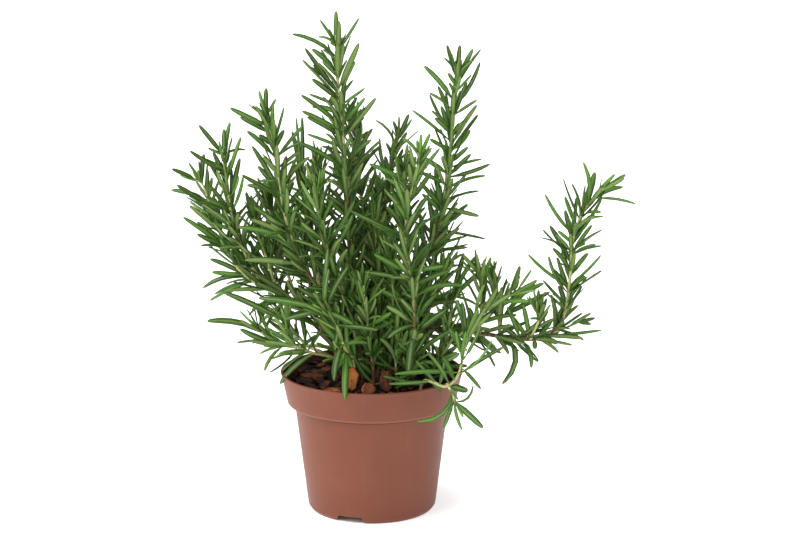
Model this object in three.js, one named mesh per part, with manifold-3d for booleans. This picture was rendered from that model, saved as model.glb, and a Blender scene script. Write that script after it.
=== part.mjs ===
// A rosemary plant in a thin plastic nursery pot, in millimetres, with +Z up and the pot standing on Z = 0.
// Everything is laid out about the pot's own axis. The finished group is then shifted by PLANT_SHIFT, so
// that the part's origin lies on the floor under the middle of the whole plant's outline.
import * as THREE from "three";
import { mergeVertices } from "three/addons/utils/BufferGeometryUtils.js";
import Module from "manifold-3d";

const wasm = await Module();
wasm.setup();

// ---------------------------------------------------------------- driving dimensions

const PLANT_SHIFT = new THREE.Vector3(-18, -8, 0);
// The gap that pieces keep where one rests on, or is held by, another.
const SEAT_GAP = 0.3;

const POT = {
  height: 93,
  wall: 1.3,
  footRadius: 40.6, // where the foot stands, inside its bevel
  footWidth: 2.4,
  footBevelHeight: 2.4,
  baseRadius: 42.1, // where the wall would stand without the bevel
  shoulderRadius: 51, // the wall just under the collar
  shoulderHeight: 72,
  collarFootRadius: 55.7, // the collar's lower edge, the pot's step
  collarFootHeight: 72.6,
  rimRadius: 60,
  floorUnderside: 5.2,
  floorThickness: 1.4,
  segments: 40,
};
const INNER_STEP = POT.shoulderHeight + POT.wall; // height of the step that the collar leaves inside
// The notches are wider at the floor than at their tops.
const FOOT_NOTCH = { count: 3, topWidth: 16, floorWidth: 19.5, height: 4.4, firstAngle: -109.5 };
const DRAIN = { count: 6, radius: 3.5, pitchRadius: 25 };

const SOIL = { middleHeight: 86.4, shoulderHeight: 85.2, edgeHeight: 83, shoulderRadius: 30 };
const ROOT_HEIGHT = 72; // where the rooted end of a stem is cut, inside the soil

const STEM_SIDES = 6;
const STEM_STEP = 15; // the most stem between two rings of its mesh
const WHORL_SPACING = 13; // between one pair of full-sized leaves and the next
const TIP_OFFSET = 2; // from a stem's end down to its last pair of leaves
const CROWDING = 0.6; // how much closer the pairs stand at the growing tip
const CROWDED_PAIRS = 5; // how many pairs from the tip that fades over
const LEAF = { length: 30, width: 3.6, thickness: 1, reach: 1.6 };
const LEAF_GROWTH = { young: 0.58, least: 0.82, most: 1.16 }; // shares of the full length
const LEAF_SPREAD = { young: 17, old: 43, scatter: 24 }; // degrees between a leaf and its stem
const LEAF_BEND = 50; // the most that two old leaves differ in how far they bend, in degrees
const BARE_FOOT = { rooted: 22, side: 9 }; // how much of a stem has no leaves at its base
// How far leaves stay above the rim, and above it near a standing chip of bark, and how near that is.
const LEAF_ROOM = { overRim: 2, overBark: 10, nearBark: 13 };
// A leaf that would touch another shoot is turned about its stem by these angles, in degrees, and
// left out if none of them is free.
const TURNS = [0, 28, -28, 56, -56, 84, -84];

// The clear space inside the pot's rim, behind the plant, where water is poured.
const WATERING_SPACE = new THREE.Box3(new THREE.Vector3(-24, 37, 85), new THREE.Vector3(8, 51, 104));

// Each shoot runs through its own hand-picked points, from its base to its growing end. A rooted shoot
// starts inside the soil, and a side shoot on the middle line of the stem that carries it. A shoot that
// is bare further up than most says so itself.
const SHOOTS = [
  {
    name: "shoot_tall_centre",
    radius: 2.0,
    points: [[-10, -4, 72], [-12, -3, 110], [-14, -2, 165], [-16, -4, 225], [-21, -5, 285], [-22, -4, 314]],
  },
  {
    name: "shoot_tall_right",
    radius: 1.9,
    points: [[10, 6, 72], [16, 10, 117], [27, 12, 156], [39, 13, 172], [47, 14, 200], [51, 14, 231],
      [53, 12, 261], [56, 11, 288]],
  },
  {
    name: "shoot_left_centre",
    radius: 1.8,
    bare: 30,
    points: [[-18, -10, 72], [-18, -9, 108], [-22, -8, 136], [-34, -9, 150], [-45, -11, 168], [-54, -13, 194],
      [-59, -14, 222], [-63, -14, 250], [-67, -13, 263]],
  },
  {
    name: "shoot_far_left",
    radius: 2.0,
    bare: 46,
    points: [[-17, 12, 72], [-25, 10, 105], [-44, 8, 133], [-62, 10, 142], [-87, 14, 157], [-102, 17, 188],
      [-110, 18, 212], [-115, 18, 217]],
  },
  {
    name: "shoot_left",
    parent: "shoot_far_left",
    radius: 1.3,
    points: [[-70, 11, 146], [-80, 6, 164], [-90, 1, 193], [-93, 0, 215], [-95, 0, 236]],
  },
  {
    name: "shoot_left_inner",
    parent: "shoot_far_left",
    radius: 1.1,
    points: [[-62, 10, 142], [-67, 5, 162], [-74, 3, 184], [-76, 2, 197]],
  },
  {
    name: "shoot_left_behind",
    parent: "shoot_far_left",
    radius: 1.2,
    points: [[-48, 8.3, 136], [-57, 18, 158], [-66, 26, 186], [-69, 29, 203]],
  },
  {
    name: "shoot_front_centre",
    radius: 1.8,
    points: [[24, -14, 72], [25, -24, 97], [27, -34, 120], [28, -37, 140], [25, -38, 165], [22, -37, 190],
      [26, -35, 221], [31, -34, 239]],
  },
  {
    name: "shoot_back",
    radius: 1.5,
    points: [[4, 29, 72], [1, 34, 128], [0, 36, 164], [7, 36, 193], [12, 36, 222], [17, 35, 240]],
  },
  {
    name: "shoot_centre_back",
    radius: 1.6,
    points: [[-2, 15, 72], [-3, 18, 120], [-3, 21, 165], [-6, 23, 194], [-9, 24, 229], [-12, 22, 257]],
  },
  {
    name: "shoot_low_left",
    parent: "shoot_far_left",
    radius: 1.3,
    bare: 28,
    points: [[-25, 10, 105], [-38, 5, 108], [-55, -1, 109], [-73, -1, 119], [-73, 0, 126]],
  },
  {
    name: "shoot_low_left_inner",
    parent: "shoot_left_centre",
    radius: 1.2,
    bare: 22,
    points: [[-18, -9.2, 100], [-28, -15, 106], [-40, -23, 111], [-52, -28, 119], [-55, -27, 132]],
  },
  {
    name: "shoot_low_left_back",
    parent: "shoot_far_left",
    radius: 1.4,
    bare: 34,
    points: [[-22, 10.7, 95], [-34, 19, 100], [-46, 28, 104], [-60, 38, 122], [-68, 46, 148], [-69, 49, 165]],
  },
  {
    name: "shoot_front_left",
    radius: 1.3,
    points: [[-13, -15, 72], [-11, -17, 102], [-14, -28, 110], [-17, -35, 117], [-22, -41, 133],
      [-29, -44, 144]],
  },
  {
    name: "shoot_front_middle",
    radius: 1.3,
    points: [[2, -16, 72], [1, -24, 102], [-3, -33, 138], [-6, -33, 159]],
  },
  {
    name: "shoot_front_right",
    radius: 1.2,
    bare: 72,
    points: [[30, -31, 72], [33, -38, 94], [39, -48, 98], [48, -56, 97], [56, -54, 105], [61, -47, 125],
      [69, -42, 139], [88, -38, 152], [95, -37, 156]],
  },
  {
    name: "shoot_front_right_twig",
    parent: "shoot_front_right",
    radius: 0.75,
    points: [[48, -56, 97], [52, -60, 93], [53, -61, 89]],
  },
  {
    name: "shoot_trailing",
    radius: 2.0,
    bare: 44,
    points: [[17, -7, 72], [24, 0, 102], [36, 5, 117], [53, 7, 119], [71, 8, 116], [98, 10, 111],
      [112, 11, 112], [123, 12, 119], [128, 12, 130], [131, 13, 153], [132, 12, 176], [137, 10, 194],
      [146, 8, 208], [153, 6, 214]],
  },
  {
    name: "shoot_trailing_side_1",
    parent: "shoot_trailing",
    radius: 1.1,
    points: [[71, 8, 116], [72, 1, 134], [71, -2, 155], [69, -3, 160]],
  },
  {
    name: "shoot_trailing_side_2",
    parent: "shoot_trailing",
    radius: 1.0,
    points: [[85, 9, 113.5], [83, 15, 137], [80, 18, 150]],
  },
  {
    name: "shoot_trailing_side_3",
    parent: "shoot_trailing",
    radius: 1.0,
    points: [[105, 10.5, 111], [110, 5, 125], [109, 3, 132]],
  },
  {
    name: "shoot_trailing_side_4",
    parent: "shoot_trailing",
    radius: 1.0,
    points: [[117, 11.5, 115], [130, 15, 118], [137, 16, 121]],
  },
  {
    name: "shoot_trailing_tuft",
    parent: "shoot_trailing",
    radius: 1.0,
    points: [[53, 7, 119], [52, 2, 133], [53, 1, 141]],
  },
  {
    name: "shoot_inner_left",
    radius: 1.5,
    points: [[-4, -8, 72], [-9, -12, 118], [-24, -22, 165], [-32, -24, 198], [-36, -24, 221]],
  },
  {
    name: "shoot_inner_left_side",
    parent: "shoot_left_centre",
    radius: 1.2,
    points: [[-34, -9, 150], [-37, 1, 170], [-43, 8, 199], [-45, 9, 215]],
  },
  {
    name: "shoot_inner_middle",
    radius: 1.4,
    points: [[3, 4, 72], [4, 3, 118], [4, 2, 160], [2, 2, 197]],
  },
  {
    name: "shoot_inner_right",
    radius: 1.4,
    points: [[9, -10, 72], [13, -14, 114], [14, -15, 150], [12, -14, 177]],
  },
  {
    name: "shoot_right_inner",
    parent: "shoot_tall_right",
    radius: 1.2,
    points: [[27, 12, 156], [21, 18, 178], [20, 19, 205], [22, 18, 224]],
  },
  {
    name: "shoot_right_low",
    parent: "shoot_tall_right",
    radius: 1.2,
    points: [[16, 10, 117], [30, 3, 131], [43, 0, 148], [48, -1, 160]],
  },
  {
    name: "shoot_right_front",
    radius: 1.3,
    points: [[33, -6, 72], [37, -11, 91], [43, -18, 103], [49, -21, 118], [50, -22, 131]],
  },
  {
    name: "shoot_back_left",
    radius: 1.5,
    points: [[-15, 24, 72], [-22, 36, 118], [-30, 46, 160], [-35, 52, 202], [-36, 53, 221]],
  },
  {
    name: "shoot_back_far_left",
    parent: "shoot_back_left",
    radius: 1.2,
    points: [[-22, 36, 118], [-38, 48, 138], [-54, 58, 164], [-60, 62, 183]],
  },
  {
    name: "shoot_back_middle",
    radius: 1.5,
    points: [[12, 22, 72], [12, 42, 112], [8, 58, 150], [4, 68, 184], [3, 70, 199]],
  },
  {
    name: "shoot_back_right",
    radius: 1.4,
    points: [[22, 16, 72], [30, 32, 112], [41, 44, 150], [46, 52, 184], [47, 54, 197]],
  },
  {
    name: "shoot_sprout_middle",
    radius: 1.1,
    points: [[3, -4, 72], [5, -7, 105], [6, -9, 138]],
  },
  {
    name: "shoot_sprout_front",
    radius: 1.1,
    points: [[16, -17, 72], [16, -23, 104], [17, -27, 132]],
  },
  {
    name: "shoot_sprout_left",
    radius: 1.1,
    points: [[-9, 9, 72], [-8, 8, 110], [-7, 5, 146]],
  },
  {
    name: "shoot_sprout_right",
    radius: 1.1,
    points: [[28, 8, 72], [31, 12, 104], [33, 13, 130]],
  },
  {
    name: "shoot_sprout_back",
    radius: 1.1,
    points: [[16, 13, 72], [18, 17, 106], [20, 20, 140]],
  },
  {
    name: "shoot_sprout_far_left",
    radius: 1.1,
    bare: 30,
    points: [[-17, -2, 72], [-20, 0, 104], [-26, -1, 130]],
  },
];

// Bark set by hand: where the chip's middle lies on the soil, its size, and how it is turned, in degrees.
const STANDING_BARK = [
  { x: 34, y: 36, length: 20, width: 15, thickness: 4.5, yaw: -40, tilt: 66 },
  { x: 45, y: 20, length: 17, width: 15, thickness: 4, yaw: -64, tilt: 72 },
  { x: -12, y: -26, length: 10, width: 17, thickness: 3.5, yaw: -8, tilt: 74 },
  { x: -2, y: -38, length: 10, width: 11, thickness: 5, yaw: 10, tilt: 50 },
  { x: 9, y: -28, length: 10, width: 16, thickness: 4, yaw: 14, tilt: 68 },
  { x: -25, y: -36, length: 15, width: 9, thickness: 4.5, yaw: -28, tilt: 18 },
];
const FLAT_BARK = { count: 9, length: [10, 19], width: [7, 11], thickness: [3, 5.5], outlinePoints: 7 };

// ---------------------------------------------------------------- finishes

const finish = (color, roughness) => new THREE.MeshStandardMaterial({ color, roughness, metalness: 0 });
const terracottaPlastic = finish(0x9c6150, 0.55);
const darkPeat = finish(0x2b1d14, 0.95);
const orangeBark = finish(0x8a4f27, 0.85);
const rosemaryGreen = finish(0x3f6f2c, 0.5);

// ---------------------------------------------------------------- joining and cutting

const radians = THREE.MathUtils.degToRad;
const lerp = THREE.MathUtils.lerp;

/** A closed geometry as a solid that can be joined and cut. */
function solidOf(geometry) {
  const bare = geometry.clone();
  bare.deleteAttribute("normal");
  bare.deleteAttribute("uv");
  const merged = mergeVertices(bare, 1e-4);
  const corners = Array.from(merged.index.array);
  const kept = [];
  for (let i = 0; i < corners.length; i += 3) {
    const [a, b, c] = corners.slice(i, i + 3);
    if (a !== b && b !== c && c !== a) kept.push(a, b, c);
  }
  const vertProperties = new Float32Array(merged.attributes.position.array);
  return new wasm.Manifold(new wasm.Mesh({ numProp: 3, vertProperties, triVerts: new Uint32Array(kept) }));
}

/** A solid as a named mesh. */
function meshOf(name, solid, material) {
  const { vertProperties, triVerts } = solid.getMesh();
  const geometry = new THREE.BufferGeometry();
  geometry.setAttribute("position", new THREE.Float32BufferAttribute(vertProperties, 3));
  geometry.setIndex(new THREE.Uint32BufferAttribute(triVerts, 1));
  geometry.computeVertexNormals();
  const mesh = new THREE.Mesh(geometry, material);
  mesh.name = name;
  return mesh;
}

/** Moves every vertex of a geometry to where place(vertex) says. */
function reshape(geometry, place) {
  const position = geometry.attributes.position;
  const vertex = new THREE.Vector3();
  for (let i = 0; i < position.count; i++) {
    vertex.fromBufferAttribute(position, i);
    position.setXYZ(i, ...place(vertex).toArray());
  }
  return geometry;
}

/** A solid turned about the Z axis from a profile of [radius, height] points. */
function turned(profile, segments) {
  const points = profile.map(([radius, height]) => new THREE.Vector2(radius, height));
  return solidOf(new THREE.LatheGeometry(points, segments).rotateX(Math.PI / 2));
}

/** A repeatable number from 0 to 1 for a shoot, a place on it and a use. */
function chance(shoot, place, use) {
  const wave = Math.sin(shoot * 12.9898 + place * 78.233 + use * 37.719) * 43758.5453;
  return wave - Math.floor(wave);
}

// ---------------------------------------------------------------- pot

/** Radius of the pot's outer face at a height above the shoulder, on the collar. */
function collarRadius(height) {
  const share = (height - POT.collarFootHeight) / (POT.height - 2 - POT.collarFootHeight);
  return lerp(POT.collarFootRadius, POT.rimRadius - 0.5, share);
}

/** Radius of the pot's outer face at a height below the shoulder. */
function wallRadius(height) {
  return lerp(POT.baseRadius, POT.shoulderRadius, height / POT.shoulderHeight);
}

/** The block that a notch takes out of the foot. It reaches as far below the floor as above it. */
function notchBlock() {
  const { topWidth, floorWidth, height } = FOOT_NOTCH;
  const lowestWidth = 2 * floorWidth - topWidth;
  const block = new THREE.BoxGeometry(12, 1, 2 * height);
  return reshape(block, (vertex) => vertex.setY(vertex.y * (vertex.z > 0 ? topWidth : lowestWidth)));
}

function makePot() {
  const { wall, height, rimRadius, floorUnderside, floorThickness } = POT;
  const floorTop = floorUnderside + floorThickness;
  const ledgeEdge = POT.collarFootRadius + POT.shoulderHeight - POT.collarFootHeight;
  const outside = [
    [0, floorUnderside],
    [wallRadius(floorUnderside) - POT.footWidth, floorUnderside],
    [POT.footRadius - POT.footWidth, 0],
    [POT.footRadius, 0],
    [wallRadius(POT.footBevelHeight), POT.footBevelHeight],
    [wallRadius(35), 35],
    [POT.shoulderRadius, POT.shoulderHeight],
    [ledgeEdge, POT.shoulderHeight],
    [POT.collarFootRadius, POT.collarFootHeight],
    [collarRadius(height - 2), height - 2],
    [rimRadius, height - 1.2],
    [rimRadius, height - 0.5],
    [rimRadius - 0.5, height],
  ];
  const inside = [
    [rimRadius - 1.5, height],
    [collarRadius(height - 2) - wall, height - 2],
    [collarRadius(INNER_STEP + 3) - wall, INNER_STEP + 3],
    [POT.collarFootRadius - wall - 2.2, INNER_STEP],
    [POT.shoulderRadius - wall, INNER_STEP],
    [wallRadius(floorTop + 1.5) - wall, floorTop + 1.5],
    [wallRadius(floorTop + 1.5) - wall - 1.5, floorTop],
    [0, floorTop],
  ];
  let pot = turned([...outside, ...inside], POT.segments);
  for (let i = 0; i < FOOT_NOTCH.count; i++) {
    const angle = radians(FOOT_NOTCH.firstAngle + (i * 360) / FOOT_NOTCH.count);
    pot = pot.subtract(solidOf(notchBlock().translate(POT.footRadius, 0, 0).rotateZ(angle)));
  }
  for (let i = 0; i <= DRAIN.count; i++) {
    const pitchRadius = i < DRAIN.count ? DRAIN.pitchRadius : 0;
    const cutter = new THREE.CylinderGeometry(DRAIN.radius, DRAIN.radius, 12, 12).rotateX(Math.PI / 2);
    cutter.translate(pitchRadius, 0, floorUnderside).rotateZ(((i + 0.5) * 2 * Math.PI) / DRAIN.count);
    pot = pot.subtract(solidOf(cutter));
  }
  return pot;
}

// ---------------------------------------------------------------- stems

/** A shoot's middle line, with its places measured along it from its base. */
class MiddleLine {
  constructor(points) {
    const places = points.map((point) => new THREE.Vector3(...point));
    this.curve = new THREE.CatmullRomCurve3(places, false, "catmullrom", 0.5);
    this.length = this.curve.getLength();
  }

  /** Position, direction and two axes square to it, at a distance from the base. */
  frameAt(distance) {
    const share = THREE.MathUtils.clamp(distance / this.length, 0, 1);
    const origin = this.curve.getPointAt(share);
    const along = this.curve.getTangentAt(share);
    const side = new THREE.Vector3().crossVectors(along, new THREE.Vector3(0, 1, 0)).normalize();
    const front = new THREE.Vector3().crossVectors(side, along);
    return { origin, along, side, front };
  }
}

/** A shoot's radius at a distance from its base. */
function stemRadius(shoot, distance) {
  return lerp(shoot.radius, 0.55, Math.min(1, distance / shoot.line.length) ** 0.8);
}

/** Distances from the base to a stem's rings: one at each pair of leaves, and more on a long bare stretch. */
function stemRings(shoot) {
  const { length } = shoot.line;
  const marks = [length, ...shoot.whorls.map(({ offset }) => length - offset), 0];
  const rings = [0];
  for (const mark of marks.reverse().slice(1)) {
    const from = rings.at(-1);
    const steps = Math.ceil((mark - from) / STEM_STEP);
    for (let i = 1; i <= steps; i++) rings.push(lerp(from, mark, i / steps));
  }
  return rings;
}

/** A shoot's tapered stem. clearance swells it all over, to cut its socket in what holds it. */
function stemSolid(shoot, clearance = 0) {
  const last = shoot.rings.length - 1;
  const rod = new THREE.CylinderGeometry(1, 1, 1, STEM_SIDES, last);
  return solidOf(reshape(rod, (vertex) => {
    const ring = Math.round((vertex.y + 0.5) * last);
    const { origin, along, side, front } = shoot.line.frameAt(shoot.rings[ring]);
    const radius = stemRadius(shoot, shoot.rings[ring]) + clearance;
    const overrun = ring === last ? clearance : ring === 0 ? -clearance : 0;
    return origin
      .addScaledVector(side, vertex.x * radius)
      .addScaledVector(front, vertex.z * radius)
      .addScaledVector(along, overrun);
  }));
}

/** The place on a stem's middle line, as its rings carry it, that lies nearest to a point. */
function nearestOnStem(shoot, point) {
  const wanted = new THREE.Vector3(...point);
  const nearest = new THREE.Vector3(Infinity, Infinity, Infinity);
  for (const { segment } of stemStretches(shoot)) {
    const foot = segment.closestPointToPoint(wanted, true, new THREE.Vector3());
    if (foot.distanceTo(wanted) < nearest.distanceTo(wanted)) nearest.copy(foot);
  }
  return nearest.toArray();
}

/** The straight stretches between the rings of a stem, each with the stem's reach about it. */
function stemStretches(shoot) {
  return shoot.rings.slice(1).map((to, i) => {
    const from = shoot.rings[i];
    const segment = new THREE.Line3(shoot.line.frameAt(from).origin, shoot.line.frameAt(to).origin);
    return { shoot: shoot.name, segment, reach: stemRadius(shoot, from) };
  });
}

// ---------------------------------------------------------------- leaves

/** Distances from a stem's growing end to its pairs of leaves: close together at the end, then even. */
function leafPairs(shoot) {
  const bare = shoot.bare ?? (shoot.parent ? BARE_FOOT.side : BARE_FOOT.rooted);
  const whorls = [];
  for (let pair = 0; ; pair++) {
    const crowding = CROWDING * Math.exp(-pair / CROWDED_PAIRS);
    const offset = TIP_OFFSET + WHORL_SPACING * pair * (1 - crowding);
    if (offset > shoot.line.length - bare) return whorls;
    whorls.push({ pair, offset });
  }
}

/** The arc that a leaf follows: it leaves its stem at an angle and bends as it grows. */
function leafArc(shoot, pair, offset, leafIndex, turn) {
  const { origin, along, side, front } = shoot.line.frameAt(shoot.line.length - offset);
  const age = THREE.MathUtils.smoothstep(offset, 0, 45);
  const draw = (use) => chance(shoot.index + 1, pair * 2 + leafIndex, use);
  const azimuth = radians(shoot.index * 37 + pair * 90 + leafIndex * 180 + (draw(1) - 0.5) * 30 + turn);
  const outward = side.multiplyScalar(Math.cos(azimuth)).addScaledVector(front, Math.sin(azimuth));
  const grown = lerp(LEAF_GROWTH.young, 1, age) * lerp(LEAF_GROWTH.least, LEAF_GROWTH.most, draw(2));
  const length = LEAF.length * grown;
  const { young, old, scatter } = LEAF_SPREAD;
  const spread = radians(lerp(young, old, age) + (draw(3) - 0.5) * scatter);
  const bend = radians((draw(4) - 0.5) * LEAF_BEND * (0.3 + 0.7 * age));
  const at = (share) => {
    const angle = spread + bend * share;
    const direction = along.clone().multiplyScalar(Math.cos(angle)).addScaledVector(outward, Math.sin(angle));
    const middle = spread + (bend * share) / 2;
    const point = origin
      .clone()
      .addScaledVector(along, length * share * Math.cos(middle))
      .addScaledVector(outward, length * share * Math.sin(middle));
    return { point, direction };
  };
  return { at, across: new THREE.Vector3().crossVectors(along, outward).normalize() };
}

/** A leaf as a closed spindle with three sides, flat above and keeled below, bent along its arc. */
function leafSolid({ at, across }) {
  const spindle = new THREE.SphereGeometry(1, 3, 2);
  return solidOf(reshape(spindle, (vertex) => {
    const { point, direction } = at((1 - vertex.y) / 2);
    const upward = new THREE.Vector3().crossVectors(across, direction);
    const halfWidth = LEAF.width / Math.sqrt(3);
    return point
      .addScaledVector(across, vertex.z * halfWidth)
      .addScaledVector(upward, (vertex.x * LEAF.thickness) / 1.5);
  }));
}

/** The two straight stretches that stand for a leaf when its distance to others is measured. */
function leafStretches(shoot, { at }) {
  const [base, middle, tip] = [0.12, 0.5, 1].map((share) => at(share).point);
  return [[base, middle], [middle, tip]].map(([start, end]) => ({
    shoot: shoot.name,
    segment: new THREE.Line3(start, end),
    reach: LEAF.reach,
  }));
}

/** Whether a leaf's stretch stays clear of the pot, the mulch and the watering space. */
function clearOfPot({ segment }) {
  return [0, 0.34, 0.67, 1].every((share) => {
    const point = segment.at(share, new THREE.Vector3());
    const radius = Math.hypot(point.x, point.y);
    if (WATERING_SPACE.distanceToPoint(point) < LEAF.reach) return false;
    if (radius > POT.rimRadius + 2) return true;
    const { overRim, overBark, nearBark } = LEAF_ROOM;
    const above = STANDING_BARK.some((chip) => Math.hypot(point.x - chip.x, point.y - chip.y) < nearBark);
    return point.z > POT.height + (above ? overBark : overRim);
  });
}

/** Whether a stretch keeps its distance from everything that belongs to other shoots. */
function clearOfOthers(stretch, others) {
  return others.every((other) => {
    if (other.shoot === stretch.shoot) return true;
    const near = stretch.reach + other.reach + SEAT_GAP;
    return stretch.segment.distanceSqToLine3(other.segment) > near * near;
  });
}

/** The leaves of a shoot, joined to its stem. */
function leafyShoot(shoot, stretches) {
  let solid = stemSolid(shoot);
  for (const { pair, offset } of shoot.whorls) {
    for (const leafIndex of [0, 1]) {
      for (const turn of TURNS) {
        const arc = leafArc(shoot, pair, offset, leafIndex, turn);
        const ownStretches = leafStretches(shoot, arc);
        if (ownStretches.every((stretch) => clearOfPot(stretch) && clearOfOthers(stretch, stretches))) {
          stretches.push(...ownStretches);
          solid = solid.add(leafSolid(arc));
          break;
        }
      }
    }
  }
  return solid;
}

// ---------------------------------------------------------------- soil and bark

/** Height of the soil's surface at a distance from the pot's axis. */
function soilHeight(radius) {
  const { middleHeight, shoulderHeight, edgeHeight, shoulderRadius } = SOIL;
  const edgeRadius = collarRadius(edgeHeight) - POT.wall - SEAT_GAP;
  return radius < shoulderRadius
    ? lerp(middleHeight, shoulderHeight, radius / shoulderRadius)
    : lerp(shoulderHeight, edgeHeight, (radius - shoulderRadius) / (edgeRadius - shoulderRadius));
}

function makeSoil(rootedShoots) {
  const floorTop = POT.floorUnderside + POT.floorThickness + SEAT_GAP;
  const step = INNER_STEP + SEAT_GAP;
  const inset = POT.wall + SEAT_GAP;
  const profile = [
    [0, floorTop],
    [wallRadius(floorTop + 1.5) - inset - 1.6, floorTop],
    [wallRadius(floorTop + 1.8) - inset, floorTop + 1.8],
    [POT.shoulderRadius - inset, step],
    [POT.collarFootRadius - inset - 2.1, step],
    [collarRadius(step + 3) - inset - 0.1, step + 3],
    [collarRadius(SOIL.edgeHeight) - inset, SOIL.edgeHeight],
    [SOIL.shoulderRadius, SOIL.shoulderHeight],
    [0, SOIL.middleHeight],
  ];
  let soil = turned(profile, POT.segments);
  for (const shoot of rootedShoots) soil = soil.subtract(stemSolid(shoot, SEAT_GAP));
  return soil;
}

/** A chip of bark: an irregular outline of even thickness, laid on the soil by its lowest corner. */
function barkChip({ x, y, length, width, thickness, yaw, tilt }, index) {
  const outline = new THREE.Shape();
  for (let i = 0; i < FLAT_BARK.outlinePoints; i++) {
    const angle = ((i + 0.5 * chance(index, i, 1)) / FLAT_BARK.outlinePoints) * 2 * Math.PI;
    const swell = 0.82 + 0.18 * chance(index, i, 2);
    const corner = [(Math.cos(angle) * swell * length) / 2, (Math.sin(angle) * swell * width) / 2];
    if (i === 0) outline.moveTo(...corner);
    else outline.lineTo(...corner);
  }
  outline.closePath();
  const chip = new THREE.ExtrudeGeometry(outline, { depth: thickness, bevelEnabled: false });
  chip.rotateX(radians(tilt)).rotateZ(radians(yaw)).translate(x, y, 0);
  const position = chip.attributes.position;
  let lift = -Infinity;
  for (let i = 0; i < position.count; i++) {
    const ground = soilHeight(Math.hypot(position.getX(i), position.getY(i)));
    lift = Math.max(lift, ground - position.getZ(i));
  }
  return solidOf(chip.translate(0, 0, lift + SEAT_GAP));
}

/** The chips' places: those set by hand, then flat ones scattered clear of the stems and of each other. */
function barkPlaces(rootedShoots) {
  const places = [...STANDING_BARK];
  const footprint = ({ x, y, length, width, yaw }) => {
    const half = new THREE.Vector3(Math.cos(radians(yaw)), Math.sin(radians(yaw)), 0);
    half.multiplyScalar((length - width) / 2);
    const middle = new THREE.Vector3(x, y, 0);
    return new THREE.Line3(middle.clone().sub(half), middle.clone().add(half));
  };
  const stems = rootedShoots.map((shoot) => {
    const foot = shoot.line.frameAt(0).origin.setZ(0);
    const out = shoot.line.frameAt((SOIL.middleHeight + 6 - ROOT_HEIGHT) * 1.2).origin.setZ(0);
    return new THREE.Line3(foot, out);
  });
  const wateringFloor = new THREE.Line3(new THREE.Vector3(-18, 44, 0), new THREE.Vector3(2, 44, 0));
  const wanted = STANDING_BARK.length + FLAT_BARK.count;
  for (let attempt = 0; places.length < wanted && attempt < 600; attempt++) {
    const draw = (use) => chance(attempt + 1, 5, use);
    const angle = draw(1) * 2 * Math.PI;
    const radius = Math.sqrt(draw(2)) * 48;
    const chip = {
      x: radius * Math.cos(angle),
      y: radius * Math.sin(angle),
      length: lerp(...FLAT_BARK.length, draw(3)),
      width: lerp(...FLAT_BARK.width, draw(4)),
      thickness: lerp(...FLAT_BARK.thickness, draw(5)),
      yaw: draw(6) * 180,
      tilt: (draw(7) - 0.5) * 22,
    };
    const mark = footprint(chip);
    const ends = [mark.start, mark.end].every((end) => end.length() + chip.width / 2 < 54);
    const fromStems = stems.every((stem) => mark.distanceSqToLine3(stem) > (chip.width / 2 + 3) ** 2);
    const fromWater = mark.distanceSqToLine3(wateringFloor) > (chip.width / 2 + 8) ** 2;
    const fromChips = places.every((other) => {
      const reach = (chip.width + other.width) / 2 + 0.6;
      return mark.distanceSqToLine3(footprint(other)) > reach * reach;
    });
    if (ends && fromStems && fromWater && fromChips) places.push(chip);
  }
  return places;
}

// ---------------------------------------------------------------- the whole plant

function buildPlant() {
  const plant = new THREE.Group();
  SHOOTS.forEach((shoot, index) => {
    shoot.index = index;
    shoot.carrier = SHOOTS.find((other) => other.name === shoot.parent);
    if (shoot.carrier) shoot.points[0] = nearestOnStem(shoot.carrier, shoot.points[0]);
    shoot.line = new MiddleLine(shoot.points);
    shoot.whorls = leafPairs(shoot);
    shoot.rings = stemRings(shoot);
  });
  const rooted = SHOOTS.filter((shoot) => !shoot.parent);
  const stretches = SHOOTS.flatMap(stemStretches);
  plant.add(meshOf("pot", makePot(), terracottaPlastic));
  plant.add(meshOf("potting_soil", makeSoil(rooted), darkPeat));
  barkPlaces(rooted).forEach((place, i) => {
    const name = "bark_chip_" + String(i + 1).padStart(2, "0");
    plant.add(meshOf(name, barkChip(place, i + 1), orangeBark));
  });
  for (const shoot of SHOOTS) {
    let solid = leafyShoot(shoot, stretches);
    if (shoot.carrier) solid = solid.subtract(stemSolid(shoot.carrier, SEAT_GAP));
    plant.add(meshOf(shoot.name, solid, rosemaryGreen));
  }
  plant.position.copy(PLANT_SHIFT);
  return plant;
}

export default buildPlant();
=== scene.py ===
"""A rosemary plant in a thin plastic pot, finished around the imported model.

Every length is worked out in millimetres about the pot's own axis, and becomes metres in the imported
model's frame when a piece is made. New surfaces are grids of points computed as whole arrays.
"""

import itertools
import logging
import math
from dataclasses import dataclass, field, fields
from enum import Enum

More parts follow.
